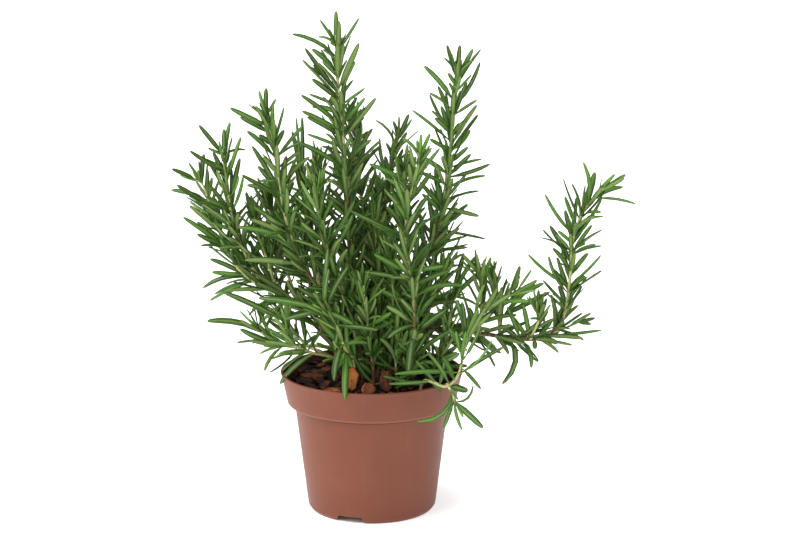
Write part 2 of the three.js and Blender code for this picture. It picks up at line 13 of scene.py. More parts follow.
import bmesh
import bpy
import numpy as np
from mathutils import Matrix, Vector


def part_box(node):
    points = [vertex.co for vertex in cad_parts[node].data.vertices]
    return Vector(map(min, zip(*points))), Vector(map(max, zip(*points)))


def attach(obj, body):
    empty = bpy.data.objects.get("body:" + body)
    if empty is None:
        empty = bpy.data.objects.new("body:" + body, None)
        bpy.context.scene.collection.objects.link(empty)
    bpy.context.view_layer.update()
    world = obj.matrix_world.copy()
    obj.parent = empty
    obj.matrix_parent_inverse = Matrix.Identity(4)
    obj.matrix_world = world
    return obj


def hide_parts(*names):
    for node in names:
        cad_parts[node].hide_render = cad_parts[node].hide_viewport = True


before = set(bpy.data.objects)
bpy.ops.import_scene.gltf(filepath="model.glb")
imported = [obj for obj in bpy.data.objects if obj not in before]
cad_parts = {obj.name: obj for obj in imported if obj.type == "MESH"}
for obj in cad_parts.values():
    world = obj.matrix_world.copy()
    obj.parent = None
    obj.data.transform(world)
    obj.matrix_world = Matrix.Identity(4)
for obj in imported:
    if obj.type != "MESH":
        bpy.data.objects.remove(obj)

Array = np.ndarray
Point = tuple[float, float, float]
Pixel = tuple[float, float]
Stroke = tuple[float, float, float, float]
Colour = tuple[float, float, float]
# Where a ramp begins and ends, and what it gives there, which is 0 and 1 where that is left out.
Ramp = tuple[float, ...]

MM = 0.001
log = logging.getLogger("rosemary")


class Slot(Enum):
    """The record's material slots."""

    POT = "terracotta_plastic"
    SOIL = "potting_soil"
    BARK = "bark"
    LEAF = "rosemary_leaf"
    STEM = "rosemary_stem"


# ------------------------------------------------------------------ numbers


def unit(vectors: Array) -> Array:
    """Vectors scaled to length one."""
    return vectors / np.linalg.norm(vectors, axis=-1, keepdims=True)


def smoothstep(values: Array, low: float, high: float) -> Array:
    """0 below low, 1 above high, and an S-shaped rise between them."""
    share = np.clip((values - low) / (high - low), 0, 1)
    return share * share * (3 - 2 * share)


def blend(low: Array, high: Array, share: Array) -> Array:
    """The value at a share of the way from low to high."""
    return low + (high - low) * share


def scrambled(phase: Array) -> Array:
    """A repeatable number from 0 to 1 for each phase: the fraction of a large multiple of its sine."""
    wave = np.sin(phase) * 43758.5453
    return wave - np.floor(wave)


def chance(shoot: Array, place: Array, use: float) -> Array:
    """A repeatable number from 0 to 1 for a shoot, a place on it and one of its uses there."""
    return scrambled(shoot * 12.9898 + place * 78.233 + use * 37.719)


def degrees_about(middle: Array, breadth: Array, share: Array) -> Array:
    """An angle in radians, from one end of a range of degrees to the other as share goes from 0 to 1."""
    return np.radians(middle + (share - 0.5) * breadth)


def noise(points: Array, seed: float = 0.0) -> Array:
    """Smooth noise over space.

    Each corner of a unit grid has a repeatable number, and a point blends the numbers of the eight
    corners about it by S-shaped shares along each axis.

    Args:
        points: places, as rows of three.
        seed: picks one pattern of many.

    Returns:
        A value from -1 to 1 for each point.
    """
    cell = np.floor(points)
    share = smoothstep(points - cell, 0, 1)
    total = np.zeros(points.shape[:-1])
    for corner in itertools.product((0, 1), repeat=3):
        number = scrambled((cell + corner) @ np.array((12.99, 78.23, 37.72)) + seed * 5.13)
        total += np.prod(np.where(corner, share, 1 - share), axis=-1) * number
    return 2 * total - 1


def layered_noise(points: Array, layers: int, seed: float = 0.0) -> Array:
    """Noise summed over layers, each twice as fine and half as strong as the last."""
    return sum(noise(points * 2**k, seed + k) / 2**k for k in range(layers))


# ------------------------------------------------------------------ meshes

POT_LOW, POT_HIGH = (np.array(corner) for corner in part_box("pot"))
# The pot's axis where it meets the floor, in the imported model's frame.
AXIS = np.array([*((POT_LOW + POT_HIGH) / 2)[:2], 0.0])


def vertex_rows(mesh: bpy.types.Mesh, what: str) -> Array:
    """One row of three numbers for each corner of a mesh, such as its place (co) or its normal."""
    rows = np.zeros(len(mesh.vertices) * 3, np.float32)
    mesh.vertices.foreach_get(what, rows)
    return rows.reshape(-1, 3).astype(float)


def corners_of(mesh: bpy.types.Mesh) -> Array:
    """The corners of a mesh, in millimetres about the pot's axis."""
    return (vertex_rows(mesh, "co") - AXIS) / MM


def add_object(name: str, data: bpy.types.ID) -> bpy.types.Object:
    """Adds an object that shows some data to the scene."""
    made = bpy.data.objects.new(name, data)
    bpy.context.scene.collection.objects.link(made)
    return made


def new_piece(name: str, points: Array, faces: list[Array]) -> bpy.types.Object:
    """Makes an object from points and faces.

    Args:
        name: the piece's name.
        points: its corners in millimetres about the pot's axis.
        faces: blocks of faces, each a row of point numbers for each face.

    Returns:
        The object, at the origin, with its place in its mesh and smooth faces.
    """
    mesh = bpy.data.meshes.new(name)
    rows = [row for block in faces for row in block.tolist()]
    mesh.from_pydata((points * MM + AXIS).tolist(), [], rows)
    mesh.shade_smooth()
    return add_object(name, mesh)


def closed_tubes(rings: Array, starts: Array, ends: Array) -> tuple[Array, list[Array]]:
    """Tubes of rings, each closed by a fan to a point at either end.

    Seen from outside, a ring's points run to the left when the next ring lies above it.

    Args:
        rings: places, by tube, ring, point of the ring and axis.
        starts: the point that closes each tube before its first ring.
        ends: the point that closes each tube after its last ring.

    Returns:
        All points, tube after tube, and blocks of faces.
    """
    tubes, rows, columns, _ = rings.shape
    body = rings.reshape(tubes, rows * columns, 3)
    points = np.concatenate([starts[:, None], body, ends[:, None]], axis=1)
    first = 1 + np.arange(rows)[:, None] * columns
    here, left = np.arange(columns), np.roll(np.arange(columns), -1)
    low, high = first[:-1], first[1:]
    walls = np.stack([low + here, low + left, high + left, high + here], axis=-1).reshape(-1, 4)
    bottom = np.stack([0 * here, 1 + left, 1 + here], axis=-1)
    last = np.full(columns, rows * columns + 1)
    top = np.stack([first[-1] + here, first[-1] + left, last], axis=-1)
    shift = (np.arange(tubes) * points.shape[1])[:, None, None]
    faces = [(shift + block).reshape(-1, block.shape[1]) for block in (walls, bottom, top)]
    return points.reshape(-1, 3), faces


def set_attribute(piece: bpy.types.Object, name: str, *columns: Array) -> None:
    """Stores up to three numbers at each point of a piece, for its material to read."""
    values = np.zeros((len(piece.data.vertices), 3), np.float32)
    for axis, column in enumerate(columns):
        values[:, axis] = np.ravel(column)
    layer = piece.data.attributes.new(name, "FLOAT_VECTOR", "POINT")
    layer.data.foreach_set("vector", values.ravel())


def hand_over(piece: bpy.types.Object, material: bpy.types.Material, slot: Slot, *nodes: str) -> None:
    """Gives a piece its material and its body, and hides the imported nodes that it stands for."""
    piece.data.materials.clear()
    piece.data.materials.append(material)
    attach(piece, "root")
    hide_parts(*nodes)
    log.info("%s: %d faces", piece.name, len(piece.data.polygons))


def apply_modifiers(piece: bpy.types.Object) -> None:
    """Puts what a piece's modifiers make into its own mesh."""
    shown = piece.evaluated_get(bpy.context.evaluated_depsgraph_get())
    mesh = bpy.data.meshes.new_from_object(shown)
    piece.modifiers.clear()
    piece.data = mesh


# ------------------------------------------------------------------ materials


def paint(red: int, green: int, blue: int) -> Colour:
    """A colour from 0 to 255 as a screen shows it, as the shader's linear numbers."""
    shares = [value / 255 for value in (red, green, blue)]
    return tuple(s / 12.92 if s <= 0.04045 else ((s + 0.055) / 1.055) ** 2.4 for s in shares)


class Recipe:
    """A material under construction: its node tree, and short ways to add to it."""

    def __init__(self, name: str) -> None:
        """Starts a material with one plain surface shader."""
        self.material = bpy.data.materials.new(name)
        self.material.use_nodes = True
        self.tree = self.material.node_tree
        self.shader = self.tree.nodes["Principled BSDF"]

    def node(self, kind: str, inputs: dict | None = None, **settings: object) -> bpy.types.Node:
        """Adds a node.

        Args:
            kind: its type, without the prefix ShaderNode.
            inputs: what goes into its sockets, by name or number: an output or a value.
            settings: its own properties.

        Returns:
            The node.
        """
        made = self.tree.nodes.new("ShaderNode" + kind)
        for name, value in settings.items():
            setattr(made, name, value)
        for name, value in (inputs or {}).items():
            self.feed(made.inputs[name], value)
        return made

    def feed(self, socket: bpy.types.NodeSocket, value: object) -> None:
        """Links an output into a socket, or sets the socket's own value."""
        if isinstance(value, bpy.types.NodeSocket):
            self.tree.links.new(value, socket)
        elif isinstance(value, tuple) and len(value) == 3 and socket.type == "RGBA":
            socket.default_value = (*value, 1.0)
        else:
            socket.default_value = value

    def finished(self, **inputs: object) -> bpy.types.Material:
        """The material, with its shader's sockets set: an underscore in a name stands for a space."""
        for name, value in inputs.items():
            self.feed(self.shader.inputs[name.replace("_", " ")], value)
        return self.material

    def place(self) -> bpy.types.NodeSocket:
        """Where a point lies, in metres."""
        return self.node("TexCoord").outputs["Object"]

    def stored(self, name: str) -> list[bpy.types.NodeSocket]:
        """The three numbers that a piece stores at its points under a name."""
        vector = self.node("Attribute", attribute_name=name).outputs["Vector"]
        return list(self.node("SeparateXYZ", {0: vector}).outputs)

    def stretched(self, scale: Point) -> bpy.types.NodeSocket:
        """Where a point lies, with each axis scaled, so that a pattern is long along one of them."""
        return self.node("Mapping", {"Vector": self.place(), "Scale": scale}).outputs[0]

    def noise(self, size_mm: float, detail: float = 2.0, vector: object = None) -> bpy.types.NodeSocket:
        """Noise from 0 to 1 whose spots are about size_mm wide."""
        inputs = {"Vector": vector or self.place(), "Scale": 1 / (size_mm * MM), "Detail": detail}
        return self.node("TexNoise", inputs).outputs["Fac"]

    def maths(self, operation: str, *values: object) -> bpy.types.NodeSocket:
        """A sum, product or the like of values."""
        return self.node("Math", dict(enumerate(values)), operation=operation).outputs[0]

    def ramp(self, value: object, low: float, high: float, start: float = 0.0, end: float = 1.0) -> object:
        """A value's S-shaped way from start to end, as it goes from low to high."""
        inputs = {0: value, 1: low, 2: high, 3: start, 4: end}
        return self.node("MapRange", inputs, interpolation_type="SMOOTHSTEP").outputs[0]

    def mix(self, share: object, first: object, second: object) -> bpy.types.NodeSocket:
        """Two colours mixed by a share of the second."""
        made = self.node("Mix", {0: share, 6: first, 7: second}, data_type="RGBA")
        return made.outputs[2]

    def shaded(self, colour: object, strength: object) -> bpy.types.NodeSocket:
        """A colour made lighter or darker: its brightness times strength."""
        return self.node("HueSaturation", {"Color": colour, "Value": strength}).outputs[0]

    def bump(self, height: object, depth_mm: float, strength: float = 1.0) -> bpy.types.NodeSocket:
        """Small relief from a height of 0 to 1, depth_mm deep."""
        inputs = {"Height": height, "Distance": depth_mm * MM, "Strength": strength}
        return self.node("Bump", inputs).outputs[0]


@dataclass(frozen=True)
class LeafFinish:
    """Green needle leaves, light along the middle, partly from a painted sheen, with painted shade on the
    dark turned-down margins, and felted below.
    """

    young: Colour = paint(82, 126, 42)
    mature: Colour = paint(42, 87, 22)
    # The pale midrib, which on the upper face is also a painted sheen along the middle.
    rib: Colour = paint(146, 166, 90)
    # Painted shade: the dark colour of the turned-down margins, where they face away from the light.
    margin: Colour = paint(58, 78, 26)
    felt: Colour = paint(116, 136, 76)
    base: Colour = paint(136, 162, 76)
    tip: Colour = paint(92, 84, 34)
    mottle_mm: float = 2.2
    mottle: Ramp = (0.3, 0.7, 0.88, 1.12)
    brightness: Ramp = (0.0, 1.0, 0.6, 1.5)  # by the leaf's own tone
    # How much of a colour shows, by the distance from the rib, where the margin is at 1.
    # Partly painted sheen: a broad light band along the upper face's middle.
    rib_and_sheen_above: Ramp = (0.04, 0.5, 0.45, 0.0)
    felt_below: Ramp = (0.5, 0.8, 0.85, 0.1)
    rib_below: Ramp = (0.0, 0.2, 0.6, 0.0)
    # Painted shade on the margins.
    painted_margin_shade: Ramp = (0.66, 0.94, 0.0, 0.68)
    # How much of a colour shows, by the share of the way along the leaf, and how many leaves have it.
    base_colour: Ramp = (0.0, 0.16, 0.7, 0.0)
    dry_tip: Ramp = (0.93, 1.0)
    dry_leaves: Ramp = (0.5, 1.0, 0.0, 0.8)
    turned_under: Ramp = (0.45, 0.75)
    roughness: Ramp = (0.4, 0.8, 0.42, 0.75)  # from the upper face to the felt
    uneven_roughness: Ramp = (0.9, 1.1, -0.05, 0.05)
    grain_mm: float = 0.5
    grain_depth_mm: float = 0.08

    def material(self) -> bpy.types.Material:
        """The leaf material, which reads the attributes blade and growth."""
        recipe = Recipe("leaf_green")
        across, share, under = recipe.stored("blade")
        age, tone, spot = recipe.stored("growth")
        from_rib = recipe.maths("ABSOLUTE", across)
        mottle = recipe.ramp(recipe.noise(self.mottle_mm, 3.0), *self.mottle)
        light = recipe.maths("MULTIPLY", mottle, recipe.ramp(tone, *self.brightness))
        green = recipe.shaded(recipe.mix(age, self.young, self.mature), light)
        # Partly painted sheen: the upper face lighter along its middle, about the real rib.
        upper = recipe.mix(recipe.ramp(from_rib, *self.rib_and_sheen_above), green, self.rib)
        band = recipe.maths("MULTIPLY", recipe.ramp(from_rib, *self.felt_below), under)
        lower = recipe.mix(band, green, self.felt)
        lower = recipe.mix(recipe.ramp(from_rib, *self.rib_below), lower, self.rib)
        blade = recipe.mix(recipe.ramp(under, *self.turned_under), upper, lower)
        # Painted shade: the margins darkened where they turn down.
        blade = recipe.mix(recipe.ramp(from_rib, *self.painted_margin_shade), blade, self.margin)
        blade = recipe.mix(recipe.ramp(share, *self.base_colour), blade, self.base)
        dry = recipe.maths("MULTIPLY", recipe.ramp(share, *self.dry_tip),
                           recipe.ramp(spot, *self.dry_leaves))
        return recipe.finished(
            Base_Color=recipe.mix(dry, blade, self.tip),
            Roughness=recipe.maths("ADD", recipe.ramp(under, *self.roughness),
                                   recipe.ramp(mottle, *self.uneven_roughness)),
            Normal=recipe.bump(recipe.noise(self.grain_mm), self.grain_depth_mm),
            Specular_IOR_Level=0.3,
            Subsurface_Weight=0.12,
            Subsurface_Radius=(0.6, 1.0, 0.25),
            Subsurface_Scale=1.0 * MM,
        )


@dataclass(frozen=True)
class StemFinish:
    """Stems that are downy pale green when young, and brown and cracked when old."""

    young: Colour = paint(184, 186, 124)
    woody: Colour = paint(134, 98, 62)
    crack: Colour = paint(74, 54, 37)
    streak_mm: float = 1.6
    streak_stretch: Point = (1.0, 1.0, 0.22)
    cracks: Ramp = (0.42, 0.6)
    uneven_age: Ramp = (0.3, 0.7, -0.16, 0.16)
    woody_age: Ramp = (0.26, 0.56)  # the ages between which green turns to wood
    brightness: Ramp = (0.0, 1.0, 0.8, 1.2)
    roughness: Ramp = (0.2, 0.8, 0.55, 0.85)
    streak_depth_mm: float = 0.25

    def material(self) -> bpy.types.Material:
        """The stem material, which reads the attribute growth."""
        recipe = Recipe("stem_bark")
        age, tone, _ = recipe.stored("growth")
        streaks = recipe.noise(self.streak_mm, 4.0, recipe.stretched(self.streak_stretch))
        wood = recipe.mix(recipe.ramp(streaks, *self.cracks), self.crack, self.woody)
        turning = recipe.maths("ADD", age, recipe.ramp(streaks, *self.uneven_age))
        bark = recipe.mix(recipe.ramp(turning, *self.woody_age), self.young, wood)
        return recipe.finished(
            Base_Color=recipe.shaded(bark, recipe.ramp(tone, *self.brightness)),
            Roughness=recipe.ramp(turning, *self.roughness),
            Normal=recipe.bump(streaks, self.streak_depth_mm),
        )


@dataclass(frozen=True)
class PotFinish:
    """Thin moulded plastic of a dull terracotta brown, with a satin face."""

    body: Colour = paint(120, 67, 49)
    deep: Colour = paint(114, 63, 45)
    # The colour of the dust streaks and specks, and of the painted highlight on the collar's lower edge.
    dust_and_edge_highlight: Colour = paint(152, 102, 82)
    cloud_mm: float = 38.0
    clouds: Ramp = (0.35, 0.65)
    streak_mm: float = 5.0
    streak_stretch: Point = (1.0, 1.0, 0.05)
    streaks: Ramp = (0.5, 0.8, 0.0, 0.07)
    speck_mm: float = 0.7
    specks: Ramp = (0.68, 0.78, 0.0, 0.15)
    # The painted shade in the crease under the collar and the painted highlight on the collar's lower edge
    # over it: the heights in millimetres where each comes and goes, and how strong it is.
    painted_crease_shade: tuple[Ramp, Ramp, float] = ((69.8, 71.2), (72.4, 71.9), 0.62)
    painted_edge_highlight: tuple[Ramp, Ramp, float] = ((72.1, 72.5), (74.0, 72.8), 0.35)
    roughness: Ramp = (0.3, 0.7, 0.42, 0.52)
    grain_mm: float = 0.45
    grain_depth_mm: float = 0.03

    def band(self, recipe: Recipe, comes: Ramp, goes: Ramp, strength: float) -> bpy.types.NodeSocket:
        """A level band about the pot: its strength inside, and 0 elsewhere."""
        height = recipe.node("SeparateXYZ", {0: recipe.place()}).outputs["Z"]
        edges = (recipe.ramp(height, *(level * MM for level in levels)) for levels in (comes, goes))
        return recipe.maths("MULTIPLY", recipe.maths("MULTIPLY", *edges), strength)

    def material(self) -> bpy.types.Material:
        """The pot's material: cloudy colour, faint upright flow streaks, a fine grain, painted shade under
        the collar and a painted highlight on the collar's lower edge.
        """
        recipe = Recipe("terracotta_plastic_satin")
        clouds = recipe.noise(self.cloud_mm, 3.0)
        streaks = recipe.noise(self.streak_mm, vector=recipe.stretched(self.streak_stretch))
        colour = recipe.mix(recipe.ramp(clouds, *self.clouds), self.deep, self.body)
        colour = recipe.mix(recipe.ramp(streaks, *self.streaks), colour, self.dust_and_edge_highlight)
        colour = recipe.mix(recipe.ramp(recipe.noise(self.speck_mm, 1.0), *self.specks), colour, self.dust_and_edge_highlight)
        # Painted shade: the wall darkened in the crease under the collar, where shade falls.
        unshaded_share = recipe.maths("SUBTRACT", 1.0, self.band(recipe, *self.painted_crease_shade))
        colour = recipe.shaded(colour, unshaded_share)
        # The collar's lower edge gets a painted highlight in the dust colour.
        return recipe.finished(
            Base_Color=recipe.mix(self.band(recipe, *self.painted_edge_highlight), colour, self.dust_and_edge_highlight),
            Roughness=recipe.ramp(clouds, *self.roughness),
            Normal=recipe.bump(recipe.noise(self.grain_mm, 3.0), self.grain_depth_mm),
            Specular_IOR_Level=0.24,
        )


@dataclass(frozen=True)
class SoilFinish:
    """Damp dark peat with brown fibres and a few pale grains."""

    peat: Colour = paint(14, 10, 7)
    fibre: Colour = paint(38, 26, 17)
    grain: Colour = paint(96, 74, 52)
    clod_mm: float = 3.5
    fibres: Ramp = (0.4, 0.68)
    grain_mm: float = 0.8
    grains: Ramp = (0.66, 0.74, 0.0, 0.6)
    roughness: Ramp = (0.3, 0.7, 0.98, 0.74)
    grain_depth_mm: float = 0.7

    def material(self) -> bpy.types.Material:
        """The soil's material."""
        recipe = Recipe("damp_peat")
        clods, fine = recipe.noise(self.clod_mm, 5.0), recipe.noise(self.grain_mm, 3.0)
        colour = recipe.mix(recipe.ramp(clods, *self.fibres), self.peat, self.fibre)
        return recipe.finished(
            Base_Color=recipe.mix(recipe.ramp(fine, *self.grains), colour, self.grain),
            Roughness=recipe.ramp(clods, *self.roughness),
            Normal=recipe.bump(fine, self.grain_depth_mm),
            Specular_IOR_Level=0.3,
        )


@dataclass(frozen=True)
class BarkFinish:
    """Pine bark in plates, from dark brown to rust and orange, with dark seams between them."""

    seam: Colour = paint(10, 7, 5)
    brown: Colour = paint(42, 25, 15)
    rust: Colour = paint(122, 60, 30)
    cork: Colour = paint(200, 122, 54)
    plate_mm: float = 4.5
    layer_mm: float = 1.1
    uneven_warmth: Ramp = (0.3, 0.7, -0.25, 0.25)
    rusty: Ramp = (0.15, 0.5)  # the warmths between which each colour comes in
    corky: Ramp = (0.55, 0.95, 0.0, 0.9)
    seams: Ramp = (0.5, 0.34, 0.0, 0.7)
    dark_foot: Ramp = (0.0, 0.7, 0.4, 0.0)  # by the height in the chip
    roughness: Ramp = (0.0, 1.0, 0.88, 0.6)  # from dry to damp
    layer_depth_mm: float = 0.6

    def material(self) -> bpy.types.Material:
        """The bark's material, which reads the attributes chip (tone, height in it, dampness) and grain."""
        recipe = Recipe("pine_bark")
        tone, height, damp = recipe.stored("chip")
        along_grain = recipe.node("Attribute", attribute_name="grain").outputs["Vector"]
        plates = recipe.noise(self.plate_mm, 4.0, along_grain)
        layers = recipe.noise(self.layer_mm, 3.0, along_grain)
        warmth = recipe.maths("ADD", tone, recipe.ramp(plates, *self.uneven_warmth))
        colour = recipe.mix(recipe.ramp(warmth, *self.rusty), self.brown, self.rust)
        colour = recipe.mix(recipe.ramp(warmth, *self.corky), colour, self.cork)
        colour = recipe.mix(recipe.ramp(layers, *self.seams), colour, self.seam)
        return recipe.finished(
            Base_Color=recipe.mix(recipe.ramp(height, *self.dark_foot), colour, self.seam),
            Roughness=recipe.ramp(damp, *self.roughness),
            Normal=recipe.bump(layers, self.layer_depth_mm),
            Specular_IOR_Level=0.35,
        )


# ------------------------------------------------------------------ the view


@dataclass(frozen=True)
class Viewpoint:
    """Where the plant is seen from, in millimetres about the pot's axis. The view looks along +Y."""

    position: Point = (18.67, -1378.2, 467.0)
    pitch_deg: float = 12.64
    focal_pixels: float = 2161.2
    picture: tuple[int, int] = (800, 547)
    sensor_mm: float = 36.0

    def axes(self) -> Array:
        """The view's directions to the right, up and forward, as rows."""
        pitch = math.radians(self.pitch_deg)
        up, forward = (0, math.sin(pitch), math.cos(pitch)), (0, math.cos(pitch), -math.sin(pitch))
        return np.array([(1, 0, 0), up, forward], float)

    def pixels(self, points: Array) -> Array:
        """Where points show in the picture."""
        relative = (points - np.array(self.position)) @ self.axes().T
        right, up, forward = np.moveaxis(relative, -1, 0)
        scale = self.focal_pixels / forward
        return np.stack([self.picture[0] / 2 + right * scale, self.picture[1] / 2 - up * scale], -1)

    def point(self, pixel: Pixel, depth: float) -> Array:
        """The point that shows at a pixel, on the upright plane Y = depth."""
        across = (pixel[0] - self.picture[0] / 2) / self.focal_pixels
        above = (self.picture[1] / 2 - pixel[1]) / self.focal_pixels
        ray = np.array([across, above, 1.0]) @ self.axes()
        return np.array(self.position) + ray * (depth - self.position[1]) / ray[1]

    def add_camera(self) -> None:
        """Puts the scene's camera there."""
        data = bpy.data.cameras.new("view")
        data.sensor_width = self.sensor_mm
        data.lens = self.focal_pixels * self.sensor_mm / self.picture[0]
        data.clip_end = 50.0
        camera = add_object("view", data)
        camera.location = np.array(self.position) * MM + AXIS
        camera.rotation_euler = (math.radians(90 - self.pitch_deg), 0, 0)
        bpy.context.scene.camera = camera


VIEW = Viewpoint()


# ------------------------------------------------------------------ pot


def rounded(corners: list[Point], steps: int = 5) -> Array:
    """An outline with its corners rounded.

    Each corner gives way to a short curve that leaves the edge before it at the rounding's reach from
    the corner, is pulled towards the corner, and meets the edge after it at the same distance.

    Args:
        corners: each corner's radius and height, and how far its rounding reaches along its edges.
        steps: stretches in each curve.

    Returns:
        The outline's points in order.
    """
    rows = np.array(corners, float)
    outline, reach = rows[:, None, :2], rows[:, 2:, None]
    before, after = (unit(np.roll(outline, shift, axis=0) - outline) for shift in (1, -1))
    share = np.linspace(0, 1, steps + 1)[None, :, None]
    start, end = outline + before * reach, outline + after * reach
    curve = (1 - share) ** 2 * start + 2 * share * (1 - share) * outline + share**2 * end
    keep = np.where(reach[..., 0] > 0, True, np.arange(steps + 1) == 0)
    return curve[keep]


def revolved(profile: Array, segments: int) -> Array:
    """Rings about the pot's axis: each point of a profile, as radius and height, carried round it."""
    turn = np.arange(segments) * 2 * math.pi / segments
    radius, height = profile[:, :1], profile[:, 1:]
    return np.stack([radius * np.cos(turn), radius * np.sin(turn), height + 0 * turn], axis=-1)


@dataclass
class Pot:
    """The nursery pot: a tapered wall, a deep sloping collar with a rolled lip, and a notched foot."""

    height: float = 93.0
    wall: float = 1.3
    foot_radius: float = 40.6
    foot_width: float = 2.4
    foot_bevel_height: float = 2.4
    base_radius: float = 42.1  # where the wall would stand without the foot's bevel
    shoulder_radius: float = 51.0
    shoulder_height: float = 72.0
    collar_radius: float = 55.7
    collar_height: float = 72.6
    rim_radius: float = 60.0
    lip_height: float = 2.0
    lip_overhang: float = 0.5
    lip_width: float = 1.6
    floor_underside: float = 5.2
    floor_thickness: float = 1.4
    floor_fillet: float = 1.5
    step_rise: float = 3.0  # from the inner step up to where the collar's inside runs straight
    notches: int = 3
    notch_top_width: float = 16.0
    notch_floor_width: float = 19.5
    notch_height: float = 4.4
    first_notch_deg: float = -109.5
    drains: int = 6
    drain_radius: float = 3.5
    drain_pitch: float = 25.0
    segments: int = 160

    def wall_radius(self, height: Array) -> Array:
        """Outer radius at a height below the collar."""
        return blend(self.base_radius, self.shoulder_radius, height / self.shoulder_height)

    def collar_face(self, height: Array) -> Array:
        """Outer radius at a height on the collar."""
        share = (height - self.collar_height) / (self.height - self.lip_height - self.collar_height)
        return blend(self.collar_radius, self.rim_radius - self.lip_overhang, share)

    def inner_step(self) -> float:
        """Height of the step that the collar leaves inside."""
        return self.shoulder_height + self.wall

    def profile(self) -> Array:
        """The wall's section from the axis underneath, up the outside and down the inside to the axis."""
        under, fillet, axis, halfway = self.floor_underside, self.floor_fillet, 0.01, 35.0
        floor_top = under + self.floor_thickness
        ledge_edge = self.collar_radius + self.shoulder_height - self.collar_height
        lip, step = self.height - self.lip_height, self.inner_step()
        straight = step + self.step_rise
        inner_foot = self.wall_radius(floor_top + fillet) - self.wall
        return rounded([
            (axis, under, 0),
            (self.wall_radius(under) - self.foot_width, under, 0.6),
            (self.foot_radius - self.foot_width, 0, 0.3),
            (self.foot_radius, 0, 0.3),
            (self.wall_radius(self.foot_bevel_height), self.foot_bevel_height, 0.7),
            (self.wall_radius(halfway), halfway, 0),
            (self.shoulder_radius, self.shoulder_height, 0.2),
            (ledge_edge, self.shoulder_height, 0.2),
            (self.collar_radius, self.collar_height, 0.3),
            (self.collar_face(lip), lip, 0.3),
            (self.rim_radius, self.height - 1.2, 0.25),
            (self.rim_radius, self.height - 0.05, 0.45),
            (self.rim_radius - self.lip_width, self.height, 0.45),
            (self.collar_face(lip) - self.wall, lip, 0.3),
            (self.collar_face(straight) - self.wall, straight, 0.8),
            (self.collar_radius - self.wall - 2.2, step, 0.8),
            (self.shoulder_radius - self.wall, step, 0.6),
            (inner_foot, floor_top + fillet, 0.8),
            (inner_foot - fillet, floor_top, 0.5),
            (axis, floor_top, 0),
        ])

    def cutters(self) -> bpy.types.Object:
        """What is cut away: a block at each notch of the foot, and a rod at each drain hole."""
        reach = 12.0  # of each block inwards and outwards together, and of each rod up and down
        blocks = bmesh.new()
        for turn in range(self.notches):
            angle = math.radians(self.first_notch_deg + turn * 360 / self.notches)
            made = bmesh.ops.create_cube(blocks, size=1.0)["verts"]
            bmesh.ops.scale(blocks, vec=(reach, 1, 2 * self.notch_height), verts=made)
            lowest_width = 2 * self.notch_floor_width - self.notch_top_width
            for corner in made:
                corner.co.y *= self.notch_top_width if corner.co.z > 0 else lowest_width
            bmesh.ops.translate(blocks, vec=(self.foot_radius, 0, 0), verts=made)
            turned = Matrix.Rotation(angle, 3, "Z")
            bmesh.ops.rotate(blocks, cent=(0, 0, 0), matrix=turned, verts=made)
        for turn in range(self.drains + 1):  # the last is in the middle
            angle = (turn + 0.5) * 2 * math.pi / self.drains
            pitch = self.drain_pitch if turn < self.drains else 0.0
            made = bmesh.ops.create_cone(
                blocks, cap_ends=True, segments=40, depth=reach,
                radius1=self.drain_radius, radius2=self.drain_radius)["verts"]
            place = (pitch * math.cos(angle), pitch * math.sin(angle), self.floor_underside)
            bmesh.ops.translate(blocks, vec=place, verts=made)
        bmesh.ops.scale(blocks, vec=(MM, MM, MM), verts=blocks.verts)
        bmesh.ops.translate(blocks, vec=AXIS, verts=blocks.verts)
        mesh = bpy.data.meshes.new("pot_cutters")
        blocks.to_mesh(mesh)
        blocks.free()
        return add_object("pot_cutters", mesh)

    def build(self) -> None:
        """Turns the pot from its section, then cuts the notches and the drain holes."""
        profile = self.profile()
        rings = revolved(profile[1:-1], self.segments)[None]
        poles = [np.array([[0, 0, height]]) for height in (profile[0, 1], profile[-1, 1])]
        piece = new_piece("nursery_pot", *closed_tubes(rings, *poles))
        cutter = self.cutters()
        cut = piece.modifiers.new("cut", "BOOLEAN")
        cut.object, cut.operation, cut.solver = cutter, "DIFFERENCE", "EXACT"
        apply_modifiers(piece)
        bpy.data.objects.remove(cutter)
        piece.data.shade_smooth()
        piece.data.set_sharp_from_angle(angle=math.radians(38))
        hand_over(piece, PotFinish().material(), Slot.POT, "pot")


# ------------------------------------------------------------------ soil and bark


